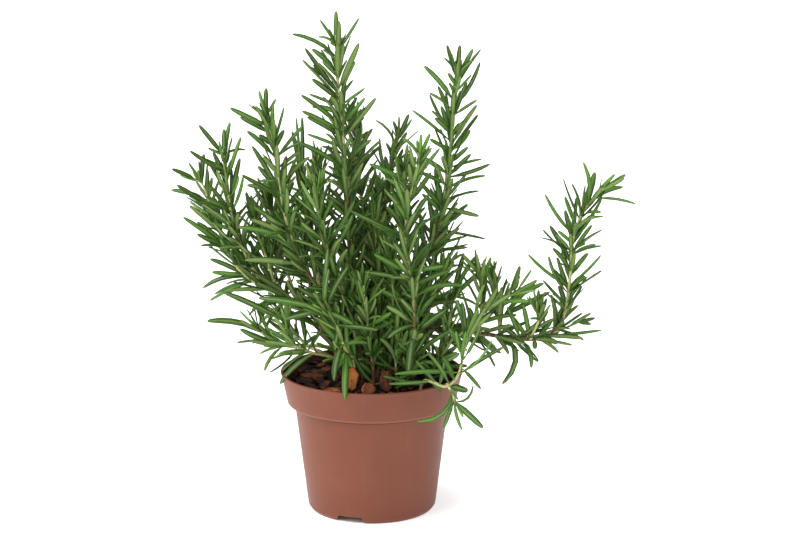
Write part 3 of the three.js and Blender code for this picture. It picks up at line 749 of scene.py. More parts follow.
@dataclass
class Soil:
    """The potting soil: a lumpy top that fills the pot to just under its rim, with loose crumbs on it."""

    pot: Pot
    middle_height: float = 86.4
    shoulder_height: float = 85.2
    shoulder_radius: float = 30.0
    edge_height: float = 83.0
    gap: float = 0.3
    clod_size: float = 14.0
    clod_rise: float = 1.1
    grit_size: float = 3.6
    grit_rise: float = 1.6
    sunk: float = 1.4  # so that clods and grit stand about as much above the smooth top as below it
    calmed: float = 3.0  # how far from the wall the clods begin to level out
    least_rise: float = 0.25  # the share of their rise that is left at the wall
    rows: int = 62
    segments: int = 200
    crumbs: int = 900

    def height(self, radius: Array) -> Array:
        """Height of the smooth top at a distance from the pot's axis: two cones, one flatter."""
        edge = self.edge_radius()
        inner = blend(self.middle_height, self.shoulder_height, radius / self.shoulder_radius)
        share = (radius - self.shoulder_radius) / (edge - self.shoulder_radius)
        outer = blend(self.shoulder_height, self.edge_height, share)
        return np.where(radius < self.shoulder_radius, inner, outer)

    def edge_radius(self) -> float:
        """Where the top meets the collar's inner face."""
        return self.pot.collar_face(self.edge_height) - self.pot.wall - self.gap

    def lumps(self, x: Array, y: Array) -> Array:
        """Height of the clods and hollows above the smooth top, at places across it."""
        flat = np.stack([x, y, 0 * x], axis=-1)
        clods = layered_noise(flat / self.clod_size, 3, 3.0)
        grit = np.abs(layered_noise(flat / self.grit_size, 4, 9.0))
        return self.clod_rise * clods + self.grit_rise * grit - self.sunk

    def surface(self, x: Array, y: Array) -> Array:
        """Height of the soil's top at places across it, calmed towards the wall."""
        radius = np.hypot(x, y)
        rough = 1 - smoothstep(radius, self.edge_radius() - self.calmed, self.edge_radius())
        return self.height(radius) + self.lumps(x, y) * blend(self.least_rise, 1.0, rough)

    def build(self) -> None:
        """Makes the body of soil and its crumbs."""
        pot, gap = self.pot, self.gap
        inset = pot.wall + gap
        floor = pot.floor_underside + pot.floor_thickness + gap
        step = pot.inner_step() + gap
        straight = step + pot.step_rise
        corner = floor + 1.8  # above the pot's fillet
        sides = [
            (pot.wall_radius(floor + pot.floor_fillet) - inset - 1.6, floor),
            (pot.wall_radius(corner) - inset, corner),
            (pot.shoulder_radius - inset, step),
            (pot.collar_radius - inset - 2.1, step),
            (pot.collar_face(straight) - inset - 0.1, straight),
        ]
        under = revolved(np.array(sides), self.segments)
        radius = self.edge_radius() * np.sqrt(np.linspace(1, 0.0004, self.rows))
        top = revolved(np.stack([radius, 0 * radius], axis=1), self.segments)
        top[..., 2] = self.surface(top[..., 0], top[..., 1])
        peak = float(self.surface(np.zeros(1), np.zeros(1))[0])
        poles = [np.array([[0, 0, height]]) for height in (floor, peak)]
        piece = new_piece("potting_soil_body", *closed_tubes(np.concatenate([under, top])[None], *poles))
        finish = SoilFinish().material()
        hand_over(piece, finish, Slot.SOIL, "potting_soil")
        self.build_crumbs(finish)

    def build_crumbs(self, finish: bpy.types.Material) -> None:
        """Makes loose crumbs, half sunk in the top."""
        random = np.random.default_rng(21)
        reach = np.sqrt(random.random(self.crumbs)) * (self.edge_radius() - 2.5)
        turn = random.random(self.crumbs) * 2 * math.pi
        size = 0.5 + 1.7 * random.random((self.crumbs, 1)) ** 3
        x, y = reach * np.cos(turn), reach * np.sin(turn)
        middle = np.stack([x, y, self.surface(x, y) + 0.3 * size[:, 0]], axis=-1)
        crumbs = Lumps(middle, size * blend(0.6, 1.4, random.random((self.crumbs, 3))), turn, 0 * turn)
        hand_over(crumbs.piece("soil_crumbs", random), finish, Slot.SOIL, "potting_soil")


@dataclass
class Lumps:
    """Many small rough solids in one piece: each field has one row for each of them.

    Each is a sphere of rings, whose points are pulled in or out by up to a share, stretched to its
    own size along its own three axes.
    """

    middle: Array
    size: Array
    yaw: Array
    tilt: Array
    rings: int = 3
    sides: int = 7
    roughness: float = 0.35

    def ball(self) -> Array:
        """The points of a sphere's rings, by ring and side."""
        slope = np.linspace(-1, 1, self.rings + 2)[1:-1, None] * math.pi / 2
        turn = np.arange(self.sides) * 2 * math.pi / self.sides
        level = np.cos(slope)
        return np.stack(np.broadcast_arrays(level * np.cos(turn), level * np.sin(turn), np.sin(slope)), -1)

    def piece(self, name: str, random: np.random.Generator) -> bpy.types.Object:
        """Makes them, with the roughness drawn from random."""
        count = len(self.middle)
        ball = self.ball()
        rough = 1 + self.roughness * (2 * random.random((count, *ball.shape[:2], 1)) - 1)
        level = np.cos(self.tilt)
        length_axis = np.stack([np.cos(self.yaw) * level, np.sin(self.yaw) * level, np.sin(self.tilt)], -1)
        width_axis = np.stack([-np.sin(self.yaw), np.cos(self.yaw), 0 * self.yaw], -1)
        axes = np.stack([length_axis, width_axis, np.cross(length_axis, width_axis)], axis=1)
        stretch = axes * self.size[..., None]
        rings = self.middle[:, None, None] + np.einsum("nrsk,nkj->nrsj", ball * rough, stretch)
        low, high = self.middle - stretch[:, 2], self.middle + stretch[:, 2]
        return new_piece(name, *closed_tubes(rings, low, high))

    def each(self, numbers: Array) -> Array:
        """Numbers, one for each solid, repeated for all of its points."""
        return np.repeat(numbers, self.rings * self.sides + 2)

    def own_places(self) -> Array:
        """Where each point lies along its own solid's axes, set apart from one solid to the next."""
        points = np.concatenate([[(0, 0, -1)], self.ball().reshape(-1, 3), [(0, 0, 1)]])
        apart = np.arange(len(self.middle))[:, None, None] * 7.3
        return (points * self.size[:, None] + apart).reshape(-1, 3)


@dataclass
class Bark:
    """The bark mulch: large chips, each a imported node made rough, and small splinters among them."""

    soil: Soil
    voxel: float = 0.55
    pieces: int = 300
    splinters: int = 380
    # How orange each of the first chips is, from dark brown to cork, in the nodes' order.
    TONES = (0.1, 0.2, 0.98, 0.62, 0.42, 0.6)
    DULL_AT_MOST = 0.4  # the other chips are at most so orange
    # How fine the bark's pattern is along its length, its width and its thickness.
    GRAIN = np.array([0.3, 0.8, 1.6])
    # How long, wide and thick a chip's plates and layers are, and how far they stand out.
    PLATES, PLATE_RISE = (9, 5, 2.4), 0.45
    LAYERS, LAYER_RISE = (7, 4, 0.8), 0.3
    WORN = 0.25  # how far the whole face lies back, to make room for them
    ROOM = 1.5  # between the loose pieces and the soil's edge
    TURNS_FROM, ALONG_FROM = 36, 50  # from where to where the pieces turn until they lie along the wall
    HEAP_BEGINS, HEAP_FULL = 18, 44  # how far from the pot's axis the heap rises
    MOST_TILT = 0.45
    # The loose pieces are at most so orange, and with a greater power more of them are dark.
    LOOSE_TONE, LOOSE_POWER = 0.6, 2.9

    def chip(self, node: str, index: int) -> bpy.types.Object:
        """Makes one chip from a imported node.

        The node's mesh is merged and cut into even small faces. Each point then moves along its own
        normal by ridged noise, finer through the chip's thickness than along it, so that the broad
        faces break into plates and the edges into layers.

        Args:
            node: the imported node.
            index: picks the chip's pattern.

        Returns:
            The chip.
        """
        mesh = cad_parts[node].data.copy()
        work = bmesh.new()
        work.from_mesh(mesh)
        bmesh.ops.remove_doubles(work, verts=work.verts, dist=1e-6)
        work.to_mesh(mesh)
        work.free()
        piece = add_object(node + "_rough", mesh)
        remesh = piece.modifiers.new("even", "REMESH")
        remesh.mode, remesh.voxel_size = "VOXEL", self.voxel * MM
        smooth = piece.modifiers.new("worn", "SMOOTH")
        smooth.iterations, smooth.factor = 3, 0.5
        apply_modifiers(piece)
        places, normals = corners_of(piece.data), vertex_rows(piece.data, "normal")
        middle = places.mean(axis=0)
        _, _, own_axes = np.linalg.svd(places - middle, full_matrices=False)
        own = (places - middle) @ own_axes.T
        plates = 1 - 2 * np.abs(layered_noise(own / self.PLATES, 3, index * 1.7))
        layers = layered_noise(own / self.LAYERS, 2, index * 2.3 + 40)
        places += normals * (self.PLATE_RISE * plates + self.LAYER_RISE * layers - self.WORN)[:, None]
        piece.data.vertices.foreach_set("co", (places * MM + AXIS).astype(np.float32).ravel())
        piece.data.shade_smooth()
        lift = smoothstep(places[:, 2], places[:, 2].min(), places[:, 2].max())
        dull = self.DULL_AT_MOST * chance(index, 3, 1)
        tone = self.TONES[index - 1] if index <= len(self.TONES) else dull
        set_attribute(piece, "chip", tone + 0 * lift, lift, chance(index, 5, 2) + 0 * lift)
        set_attribute(piece, "grain", *(own * self.GRAIN * MM + index).T)
        return piece

    def heap(self, turn: Array) -> Array:
        """How deep the mulch lies near the wall, by direction: 7.8 at the back and 3 in front."""
        return 5.4 + 2.4 * np.sin(turn)

    def scattered(self, name: str, count: int, low: Point, high: Point, seed: int) -> bpy.types.Object:
        """Makes loose pieces of mulch, lying in layers from the soil up to the heap's top.

        Args:
            name: the piece's name.
            count: how many there are.
            low: the least half length, half width and half thickness.
            high: the greatest.
            seed: picks their places and shapes.

        Returns:
            One piece that holds them all.
        """
        random = np.random.default_rng(seed)
        size = blend(np.array(low), np.array(high), random.random((count, 3)) ** 1.5)
        reach = np.sqrt(random.random(count)) * (self.soil.edge_radius() - self.ROOM - size[:, 1])
        turn = random.random(count) * 2 * math.pi
        loose = 1 - smoothstep(reach, self.TURNS_FROM, self.ALONG_FROM)
        yaw = turn + math.pi / 2 + (random.random(count) - 0.5) * blend(0.5, math.pi, loose)
        x, y = reach * np.cos(turn), reach * np.sin(turn)
        heap = self.heap(turn) * smoothstep(reach, self.HEAP_BEGINS, self.HEAP_FULL)
        layer = random.random(count) * heap
        middle = np.stack([x, y, self.soil.surface(x, y) + 0.5 + layer], axis=-1)
        tilt = (random.random(count) - 0.5) * 2 * self.MOST_TILT
        lumps = Lumps(middle, size, yaw, tilt, rings=4, sides=8, roughness=0.3)
        piece = lumps.piece(name, random)
        tone = self.LOOSE_TONE * random.random(count) ** self.LOOSE_POWER
        set_attribute(piece, "chip", lumps.each(tone), lumps.each(blend(0.3, 1.0, random.random(count))),
                      lumps.each(tone))
        set_attribute(piece, "grain", *(lumps.own_places() * self.GRAIN * MM).T)
        return piece

    def build(self) -> None:
        """Makes the large chips, the small pieces among them and the splinters."""
        finish = BarkFinish().material()
        nodes = sorted(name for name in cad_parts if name.startswith("bark_chip"))
        for index, node in enumerate(nodes):
            hand_over(self.chip(node, index + 1), finish, Slot.BARK, node)
        pieces = self.scattered("bark_mulch", self.pieces, (3.0, 2.0, 0.8), (8.5, 4.5, 1.9), 12)
        hand_over(pieces, finish, Slot.BARK, *nodes)
        splinters = self.scattered("bark_splinters", self.splinters, (1.2, 0.6, 0.4), (4.5, 1.6, 0.9), 5)
        hand_over(splinters, finish, Slot.BARK, *nodes)


# ------------------------------------------------------------------ leaves


@dataclass
class Leaves:
    """Needle leaves, all in one batch: each field has one number or one row for each leaf.

    A leaf leaves its stem at an angle and turns steadily outward along its length, in the plane of
    the stem's direction and the leaf's own outward direction. Its upper face looks towards the stem.
    """

    origin: Array
    along: Array
    outward: Array
    length: Array
    width: Array
    spread: Array
    bend: Array
    roll: Array
    twist: Array
    age: Array
    tone: Array

    SHARES = np.array([0.0, 0.12, 0.34, 0.56, 0.77, 0.93, 0.985])  # the sections' places on a leaf
    # The section's points, as shares of half the width and of the thickness, from the right margin
    # over the grooved upper face to the left margin, and back under the rolled edges and the channel.
    SECTION = np.array([(1.0, -0.22), (0.72, 0.4), (0.0, 0.14), (-0.72, 0.4),
                        (-1.0, -0.22), (-0.7, -0.6), (0.0, -0.3), (0.7, -0.6)])
    UNDER = np.array([0.4, 0, 0, 0, 0.4, 1, 1, 1])  # how far each point is on the lower face
    THICKNESS, THICK_AT = 0.95, 3.0  # a leaf is so thick where it is so wide, and others in proportion
    STALK_WIDTH, STALK_END = 0.5, 0.3  # shares of the full width and of the length
    NARROWS_FROM = 0.42  # the share of the length where the rounding of the end begins
    ROLLED_BY = 0.35  # the share of the length by which a leaf has its whole roll

    @classmethod
    def joined(cls, batches: "list[Leaves]") -> "Leaves":
        """Several batches as one."""
        return cls(*(np.concatenate([getattr(b, f.name) for b in batches]) for f in fields(cls)))

    def chosen(self, mask: Array) -> "Leaves":
        """Some of the leaves."""
        return Leaves(*(getattr(self, f.name)[mask] for f in fields(self)))

    def count(self) -> int:
        """How many leaves there are."""
        return len(self.length)

    def places(self, shares: Array) -> tuple[Array, Array]:
        """Points on the leaves' middle lines, and their directions there.

        Args:
            shares: how far along each leaf, from 0 to 1.

        Returns:
            Points and directions, by leaf and share.
        """
        turn = self.spread[:, None] + self.bend[:, None] * shares
        halfway = self.spread[:, None] + self.bend[:, None] * shares / 2
        along, outward = self.along[:, None], self.outward[:, None]
        reach = (self.length[:, None] * shares)[..., None]
        chord = along * np.cos(halfway)[..., None] + outward * np.sin(halfway)[..., None]
        direction = along * np.cos(turn)[..., None] + outward * np.sin(turn)[..., None]
        return self.origin[:, None] + reach * chord, direction

    def outline(self, shares: Array) -> Array:
        """Share of the full width along a leaf: narrow at its stalk, even, then rounded off at its end."""
        stalk = blend(self.STALK_WIDTH, 1, smoothstep(shares, 0.0, self.STALK_END))
        end = np.clip((shares - self.NARROWS_FROM) / (1 - self.NARROWS_FROM), 0, 1)
        return stalk * np.sqrt(1 - 0.98 * end**4)

    def piece(self, name: str) -> bpy.types.Object:
        """Makes the leaves: the section carried along each middle line, rolled, twisted and narrowed.

        Args:
            name: the piece's name.

        Returns:
            The piece, with the attributes blade (across, along, under) and growth (age, tone, spot).
        """
        middle, direction = self.places(self.SHARES)
        across = unit(np.cross(self.along, self.outward))[:, None] + 0 * direction
        upper = np.cross(direction, across)
        roll = self.roll[:, None] * smoothstep(self.SHARES, 0, self.ROLLED_BY)
        turn = (roll + self.twist[:, None] * self.SHARES)[..., None]
        across, upper = (across * np.cos(turn) + upper * np.sin(turn),
                         upper * np.cos(turn) - across * np.sin(turn))
        size = self.outline(self.SHARES)[None, :, None, None]
        width = self.width[:, None, None, None]
        half = width / 2 * size * self.SECTION[:, :1]
        rise = self.THICKNESS * np.sqrt(size) * self.SECTION[:, 1:] * (width / self.THICK_AT)
        rings = middle[:, :, None] + across[:, :, None] * half + upper[:, :, None] * rise
        tips = self.places(np.ones(1))[0][:, 0]
        made = new_piece(name, *closed_tubes(rings, self.origin, tips))
        grid = np.zeros((self.count(), len(self.SHARES), len(self.SECTION)))

        def spread_out(inner: Array, start: float, end: float) -> Array:
            """Numbers on the rings, with one for each leaf's two ends."""
            flat = (grid + inner).reshape(self.count(), -1)
            return np.concatenate([flat[:, :1] * 0 + start, flat, flat[:, :1] * 0 + end], axis=1)

        set_attribute(made, "blade", spread_out(self.SECTION[:, 0], 0, 0),
                      spread_out(self.SHARES[:, None], 0, 1), spread_out(self.UNDER, 0.5, 0.5))
        each = np.ones(grid[0].size + 2)
        spot = chance(np.arange(self.count()), 7.0, 3.0)
        set_attribute(made, "growth", *(row[:, None] * each for row in (self.age, self.tone, spot)))
        return made


# ------------------------------------------------------------------ stems


class MiddleLine:
    """A smooth line through points, measured along its length.

    Between two points it is the cubic that leaves each with half the step between that point's
    neighbours. Beyond either end a neighbour is added by repeating the last step.
    """

    def __init__(self, points: Array) -> None:
        """Takes the points in order from the base."""
        self.spans = len(points) - 1
        self.guides = np.vstack([2 * points[0] - points[1], points, 2 * points[-1] - points[-2]])
        self.times = np.linspace(0, 1, 201)
        steps = np.linalg.norm(np.diff(self.at(self.times), axis=0), axis=1)
        self.distances = np.concatenate([[0.0], np.cumsum(steps)])
        self.length = float(self.distances[-1])

    def at(self, times: Array) -> Array:
        """Points at times from 0 at the base to 1 at the end, with equal time for each span."""
        place = np.clip(times, 0, 1) * self.spans
        span = np.minimum(place.astype(int), self.spans - 1)
        share = (place - span)[:, None]
        before, start, end, after = (self.guides[span + k] for k in range(4))
        leave, meet = (end - before) / 2, (after - start) / 2
        square = 3 * (end - start) - 2 * leave - meet
        cube = 2 * (start - end) + leave + meet
        return start + share * (leave + share * (square + share * cube))

    def frames(self, distances: Array) -> tuple[Array, Array, Array, Array]:
        """Places at distances from the base: positions, directions, and two axes square to those."""
        times = np.interp(distances, self.distances, self.times)
        before, after = np.clip(times - 1e-4, 0, 1), np.clip(times + 1e-4, 0, 1)
        along = unit(self.at(after) - self.at(before))
        side = unit(np.cross(along, (0.0, 1.0, 0.0)))
        return self.at(times), along, side, np.cross(side, along)


@dataclass
class Shoot:
    """A stem with its leaves, from its base in the soil, or on another stem, to its growing end."""

    name: str
    radius: float
    points: list[Point]
    carrier: "Shoot | None" = None
    index: int = 0
    woody: float = 1.0
    bare: float | None = None
    lush: float = 1.0
    traced: "list[TracedLeaf]" = field(default_factory=list)

    TIP_RADIUS = 0.55
    BARE_ROOTED, BARE_CARRIED = 22, 9  # the usual length without leaves at the base
    WHORL_SPACING = 13.0  # between one pair of full-sized leaves and the next
    TIP_OFFSET = 2.0  # from the growing end down to the last pair
    CROWDING = 0.6  # how much closer the pairs stand at the growing end
    CROWDED_PAIRS = 5.0  # how many pairs from the growing end that fades over
    MOST_PAIRS = 200
    LONGEST_STEP = 15.0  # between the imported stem's rings
    LEAF_LENGTH, LEAF_WIDTH = 30.0, 3.7
    YOUNG_LENGTH, YOUNG_WIDTH = 0.58, 0.72  # the shares of those at the growing end
    YOUNG_SPREAD, SPREAD = 17, 43  # degrees between a leaf and its stem, there and when full grown
    FULL_GROWN = 45.0  # how far below the growing end leaves have their full size
    OLD = 60.0  # how far below it they are at their darkest
    OLDEST_STEM = 170.0  # how far below it a stem is brown all round
    CURL = 42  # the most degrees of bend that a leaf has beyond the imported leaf's
    FIRST_TURN = 37  # degrees about its stem between one shoot's first pair and the next shoot's
    # A leaf stands at the first of these turns about its stem, in degrees, where it has room.
    TURNS = (0, 28, -28, 56, -56, 84, -84)
    SAME_PLACE = 0.1  # a packed leaf's tip is less than this from where it is looked for
    BETWEEN_LENGTH, BETWEEN_WIDTH = 0.88, 0.92  # of the leaves between the pairs, as shares of theirs
    MOST_IN_AXIL = 5
    IN_AXIL, MORE_WITH_AGE = 0.9, 3.0  # about so many leaves in an axil, and so many more in the oldest
    AXIL_AGE = 0.55  # as a share of the main leaf's
    SIDES = 12
    RING_STEP = 2.2
    SWELL, SWELL_REACH = 0.22, 1.5  # how much thicker the stem is at a pair of leaves, and how far from it
    FOOT_SWELL, FOOT_REACH = 0.5, 3.0  # and at its base where it is carried
    SQUARENESS = 0.07  # a young stem's, as a share of its radius
    FURROW_DEPTH = 0.12  # an old stem's, as a share of its radius
    FURROW_SIZE = (0.9, 0.9, 3.5)
    # No other leaf's tip shows this near to the tip of a listed leaf, in pixels.
    TRACED_ROOM = 8.0
    LEAST_WITH_BUD = 0.1  # a shoot less lush than this has no bud

    def __post_init__(self) -> None:
        """Lays the middle line and finds where the pairs of leaves stand."""
        points = np.array(self.points, float)
        if self.carrier:
            points[0] = self.carrier.nearest(points[0])
        self.line = MiddleLine(points)
        bare = self.bare or (self.BARE_CARRIED if self.carrier else self.BARE_ROOTED)
        pair = np.arange(self.MOST_PAIRS)
        crowding = self.CROWDING * np.exp(-pair / self.CROWDED_PAIRS)
        offset = self.TIP_OFFSET + self.WHORL_SPACING * pair * (1 - crowding)
        self.offsets = offset[offset <= self.line.length - bare]

    def radius_at(self, distance: Array) -> Array:
        """The stem's radius at a distance from its base: it tapers faster near the base."""
        return blend(self.radius, self.TIP_RADIUS, np.clip(distance / self.line.length, 0, 1) ** 0.8)

    def nearest(self, point: Array) -> Array:
        """The place nearest to a point on straight lines between this stem's pairs of leaves."""
        marks = [0.0, *(self.line.length - self.offsets[::-1]), self.line.length]
        rings = [0.0]
        for mark in marks[1:]:
            start = rings[-1]
            steps = math.ceil((mark - start) / self.LONGEST_STEP)
            rings += [blend(start, mark, (k + 1) / steps) for k in range(steps)]
        corners = self.line.frames(np.array(rings))[0]
        step = np.diff(corners, axis=0)
        share = np.clip(((point - corners[:-1]) * step).sum(1) / (step * step).sum(1), 0, 1)
        feet = corners[:-1] + share[:, None] * step
        return feet[np.linalg.norm(feet - point, axis=1).argmin()]

    def directions(self, offset: Array, azimuth_deg: Array) -> tuple[Array, Array, Array]:
        """For leaves so far from the growing end: where they start, and the stem's way and their own."""
        origin, along, side, front = self.line.frames(self.line.length - offset)
        azimuth = np.radians(self.index * self.FIRST_TURN + azimuth_deg)[:, None]
        return origin, along, side * np.cos(azimuth) + front * np.sin(azimuth)

    def leaf_pairs(self, offsets: Array, turn: float, kind: int = 0) -> Leaves:
        """Two opposite leaves at each place, every second pair square to the one below.

        Args:
            offsets: distances of the pairs from the growing end.
            turn: degrees by which each is turned about the stem.
            kind: picks one set of repeatable numbers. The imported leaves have 0.

        Returns:
            The leaves, from the growing end down.
        """
        pair = np.repeat(np.arange(len(offsets)), 2)
        leaf = np.tile([0, 1], len(offsets))
        offset = np.repeat(offsets, 2)
        grown = smoothstep(offset, 0, self.FULL_GROWN)

        def draw(use: float) -> Array:
            """A repeatable number from 0 to 1 for each leaf and this use."""
            return chance(self.index + 1, pair * 2 + leaf + 700 * kind, use)

        # Half of the curl is taken from the spread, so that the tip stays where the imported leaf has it.
        curl = np.radians(blend(-self.CURL, self.CURL, draw(11))) * grown
        return Leaves(
            *self.directions(offset, pair * 90 + leaf * 180 + (draw(1) - 0.5) * 30 + turn),
            length=self.LEAF_LENGTH * blend(self.YOUNG_LENGTH, 1, grown) * blend(0.82, 1.16, draw(2)),
            width=self.LEAF_WIDTH * blend(self.YOUNG_WIDTH, 1, grown) * blend(0.88, 1.12, draw(6)),
            spread=degrees_about(blend(self.YOUNG_SPREAD, self.SPREAD, grown), 24, draw(3)) - curl / 2,
            bend=degrees_about(0, 50 * blend(0.3, 1, grown), draw(4)) + curl,
            roll=degrees_about(0, 110, draw(9)),
            twist=degrees_about(0, 80, draw(7)),
            age=smoothstep(offset, 0, self.OLD) * self.woody**0.5,
            tone=draw(8),
        )

    def main_leaves(self) -> Leaves:
        """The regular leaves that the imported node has, each at the turn at which it stands there."""
        corners = corners_of(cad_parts[self.name].data)
        found = np.zeros(2 * len(self.offsets), bool)
        batches = []
        for turn in self.TURNS:
            leaves = self.leaf_pairs(self.offsets, turn)
            tips = leaves.places(np.ones(1))[0]
            gaps = np.linalg.norm(tips - corners, axis=-1).min(axis=1)
            here = (gaps < self.SAME_PLACE) & ~found
            batches.append(leaves.chosen(here))
            found |= here
        return Leaves.joined(batches)

    def between_leaves(self) -> Leaves:
        """Pairs halfway below each regular pair, turned by an eighth of a turn, a little shorter."""
        below = np.append(self.offsets[1:], self.offsets[-1] + self.WHORL_SPACING)
        leaves = self.leaf_pairs((self.offsets + below) / 2, 45, kind=1)
        leaves.length *= self.BETWEEN_LENGTH
        leaves.width *= self.BETWEEN_WIDTH
        return leaves.chosen(chance(self.index + 1, np.arange(leaves.count()), 31) < self.lush)

    def axil_leaves(self, main: Leaves) -> Leaves:
        """Smaller leaves of the young side shoots in the main leaves' axils, more on older parts."""
        place = np.arange(main.count())
        batches = []
        for number in range(self.MOST_IN_AXIL):

            def draw(use: float) -> Array:
                """A repeatable number from 0 to 1 for each leaf and this use."""
                return chance(self.index + 1, place + 50 * number, use + 20)

            present = (self.IN_AXIL + main.age * self.MORE_WITH_AGE) * self.lush + draw(0) > number + 0.9
            side = np.where(number % 2, -1, 1) * np.where(draw(9) > 0.5, -1, 1)
            swing = np.radians(side * blend(18, 62, draw(1)))[:, None]
            across = unit(np.cross(main.along, main.outward))
            outward = main.outward * np.cos(swing) + across * np.sin(swing)
            batches.append(Leaves(
                origin=main.origin + main.along * blend(0.8, 3.0, draw(2))[:, None],
                along=main.along,
                outward=outward,
                length=main.length * blend(0.42, 0.95, draw(3)),
                width=main.width * blend(0.7, 0.96, draw(4)),
                spread=np.radians(blend(14, 56, draw(5))),
                bend=np.radians(blend(-26, 44, draw(6))),
                roll=degrees_about(0, 120, draw(10)),
                twist=degrees_about(0, 80, draw(7)),
                age=main.age * self.AXIL_AGE,
                tone=draw(8),
            ).chosen(present))
        return Leaves.joined(batches)

    def tip_leaves(self) -> Leaves:
        """The bud's own small upright leaves, in pairs between the last regular ones."""
        place = np.arange(6)
        pair, leaf = place // 2, place % 2
        offset, length, spread = np.array([(0.3, 9, 7), (4.6, 16, 17), (8.2, 20, 27)])[pair].T

        def draw(use: float) -> Array:
            """A repeatable number from 0 to 1 for each leaf and this use."""
            return chance(self.index + 1, place + 300, use)

        return Leaves(
            *self.directions(offset, 45 + pair * 90 + leaf * 180 + (draw(1) - 0.5) * 40),
            length=length * blend(0.85, 1.15, draw(2)),
            width=blend(2.3, 3.0, draw(3)),
            spread=degrees_about(spread, 12, draw(4)),
            bend=degrees_about(0, 24, draw(5)),
            roll=degrees_about(0, 80, draw(7)),
            twist=degrees_about(0, 60, draw(6)),
            age=0.05 * pair,
            tone=draw(8),
        )

    def build_stem(self, finish: bpy.types.Material) -> None:
        """Makes the stem.

        A ring of points is carried along the middle line. Its radius tapers, swells at each pair of
        leaves and where the stem is carried, is squarish where the stem is young, and is furrowed
        by noise where it is old.
        """
        length = self.line.length
        distance = np.linspace(0, length, math.ceil(length / self.RING_STEP))
        turn = np.arange(self.SIDES) * 2 * math.pi / self.SIDES
        middle, along, side, front = self.line.frames(distance)
        oldest = self.OLDEST_STEM if self.carrier else min(length, self.OLDEST_STEM)
        age = self.woody * smoothstep(length - distance, 0.15 * oldest, oldest)
        nodes = length - self.offsets
        near = np.exp(-(((distance[:, None] - nodes) / self.SWELL_REACH) ** 2))
        swell = 1 + self.SWELL * near.sum(axis=1)
        if self.carrier:
            swell += self.FOOT_SWELL * np.exp(-distance / self.FOOT_REACH)
        square = 1 + self.SQUARENESS * np.cos(4 * turn) * (1 - age[:, None])
        radius = (self.radius_at(distance) * swell)[:, None] * square
        spoke = side[:, None] * np.cos(turn)[:, None] - front[:, None] * np.sin(turn)[:, None]
        rings = middle[:, None] + spoke * radius[..., None]
        furrow = layered_noise(rings / self.FURROW_SIZE, 2, self.index) * age[:, None] * self.FURROW_DEPTH
        rings += spoke * (radius * furrow)[..., None]
        end = middle[-1:] + along[-1:] * self.TIP_RADIUS
        start = middle[:1] - along[:1] * 0.2
        piece = new_piece(self.name + "_stem", *closed_tubes(rings[None], start, end))
        rows = np.concatenate([age[:1], np.repeat(age, self.SIDES), age[-1:]])
        set_attribute(piece, "growth", rows, chance(self.index + 1, 2, 5) + 0 * rows, 0 * rows)
        hand_over(piece, finish, Slot.STEM, self.name)

    def build(self, leaf_finish: bpy.types.Material, stem_finish: bpy.types.Material) -> None:
        """Makes the stem and its leaves."""
        self.build_stem(stem_finish)
        main = self.main_leaves()
        batches = [main, self.between_leaves(), self.axil_leaves(main)]
        if self.lush > self.LEAST_WITH_BUD:
            batches.append(self.tip_leaves())
        leaves = Leaves.joined(batches)
        if self.traced:
            shown = VIEW.pixels(leaves.places(np.ones(1))[0])
            tips = np.array([leaf.tip for leaf in self.traced])
            alone = np.linalg.norm(shown - tips, axis=-1).min(axis=1) > self.TRACED_ROOM
            leaves = Leaves.joined([leaves.chosen(alone), *(leaf.grown(self) for leaf in self.traced)])
        hand_over(leaves.piece(self.name + "_leaves"), leaf_finish, Slot.LEAF, self.name)
        log.info("%s: %d leaves", self.name, leaves.count())


class Face(Enum):
    """Which face of a leaf the viewer sees: the number is its share of the way to the viewer."""

    UPPER = 1.0
    UNDER = -1.0


@dataclass(frozen=True)
class TracedLeaf:
    """A listed leaf: where it shows in the picture from its base to its tip.

    Its base is the place on its stem's middle line that shows nearest to the first pixel. Its tip
    shows at the second, and stands nearer to the viewer than the base by about so many millimetres.
    """

    base: Pixel
    tip: Pixel
    bend_deg: float
    width: float
    age: float
    face: Face
    nearer: float

    SCATTER = 7.0  # the most that a tip's depth differs from that
    UNEVEN = 12.0  # the most that a bend differs from its own, in degrees
    FACING = (0.6, 0.95)  # the least and the most of the roll that would face the viewer squarely

    def grown(self, shoot: Shoot) -> Leaves:
        """The leaf on its shoot, rolled to show its face."""
        distance = np.linspace(0, shoot.line.length, 400)
        middle, along, _, _ = shoot.line.frames(distance)
        near = np.linalg.norm(VIEW.pixels(middle) - np.array(self.base), axis=1).argmin()
        origin, along = middle[near], along[near]

        def draw(use: float) -> float:
            """A repeatable number from 0 to 1 for this use."""
            return float(chance(shoot.index + 1, self.tip[0] + self.tip[1], use))

        tip = VIEW.point(self.tip, origin[1] - self.nearer - blend(-self.SCATTER, self.SCATTER, draw(1)))
        chord = tip - origin
        outward = unit(chord - along * (chord @ along))
        length = np.linalg.norm(chord)
        bend = math.radians(self.bend_deg + blend(-self.UNEVEN, self.UNEVEN, draw(4)))
        spread = math.acos(float(np.clip(chord @ along / length, -1, 1))) - bend / 2
        across = unit(np.cross(along, outward))
        to_viewer = (np.array(VIEW.position) - tip) * self.face.value
        full_roll = math.atan2(-to_viewer @ across, to_viewer @ np.cross(chord / length, across))
        roll, twist = full_roll * blend(*self.FACING, draw(2)), 0.0
        values = (origin, along, outward, length, self.width, spread, bend, roll, twist, self.age, draw(3))
        return Leaves(*(np.array([value]) for value in values))


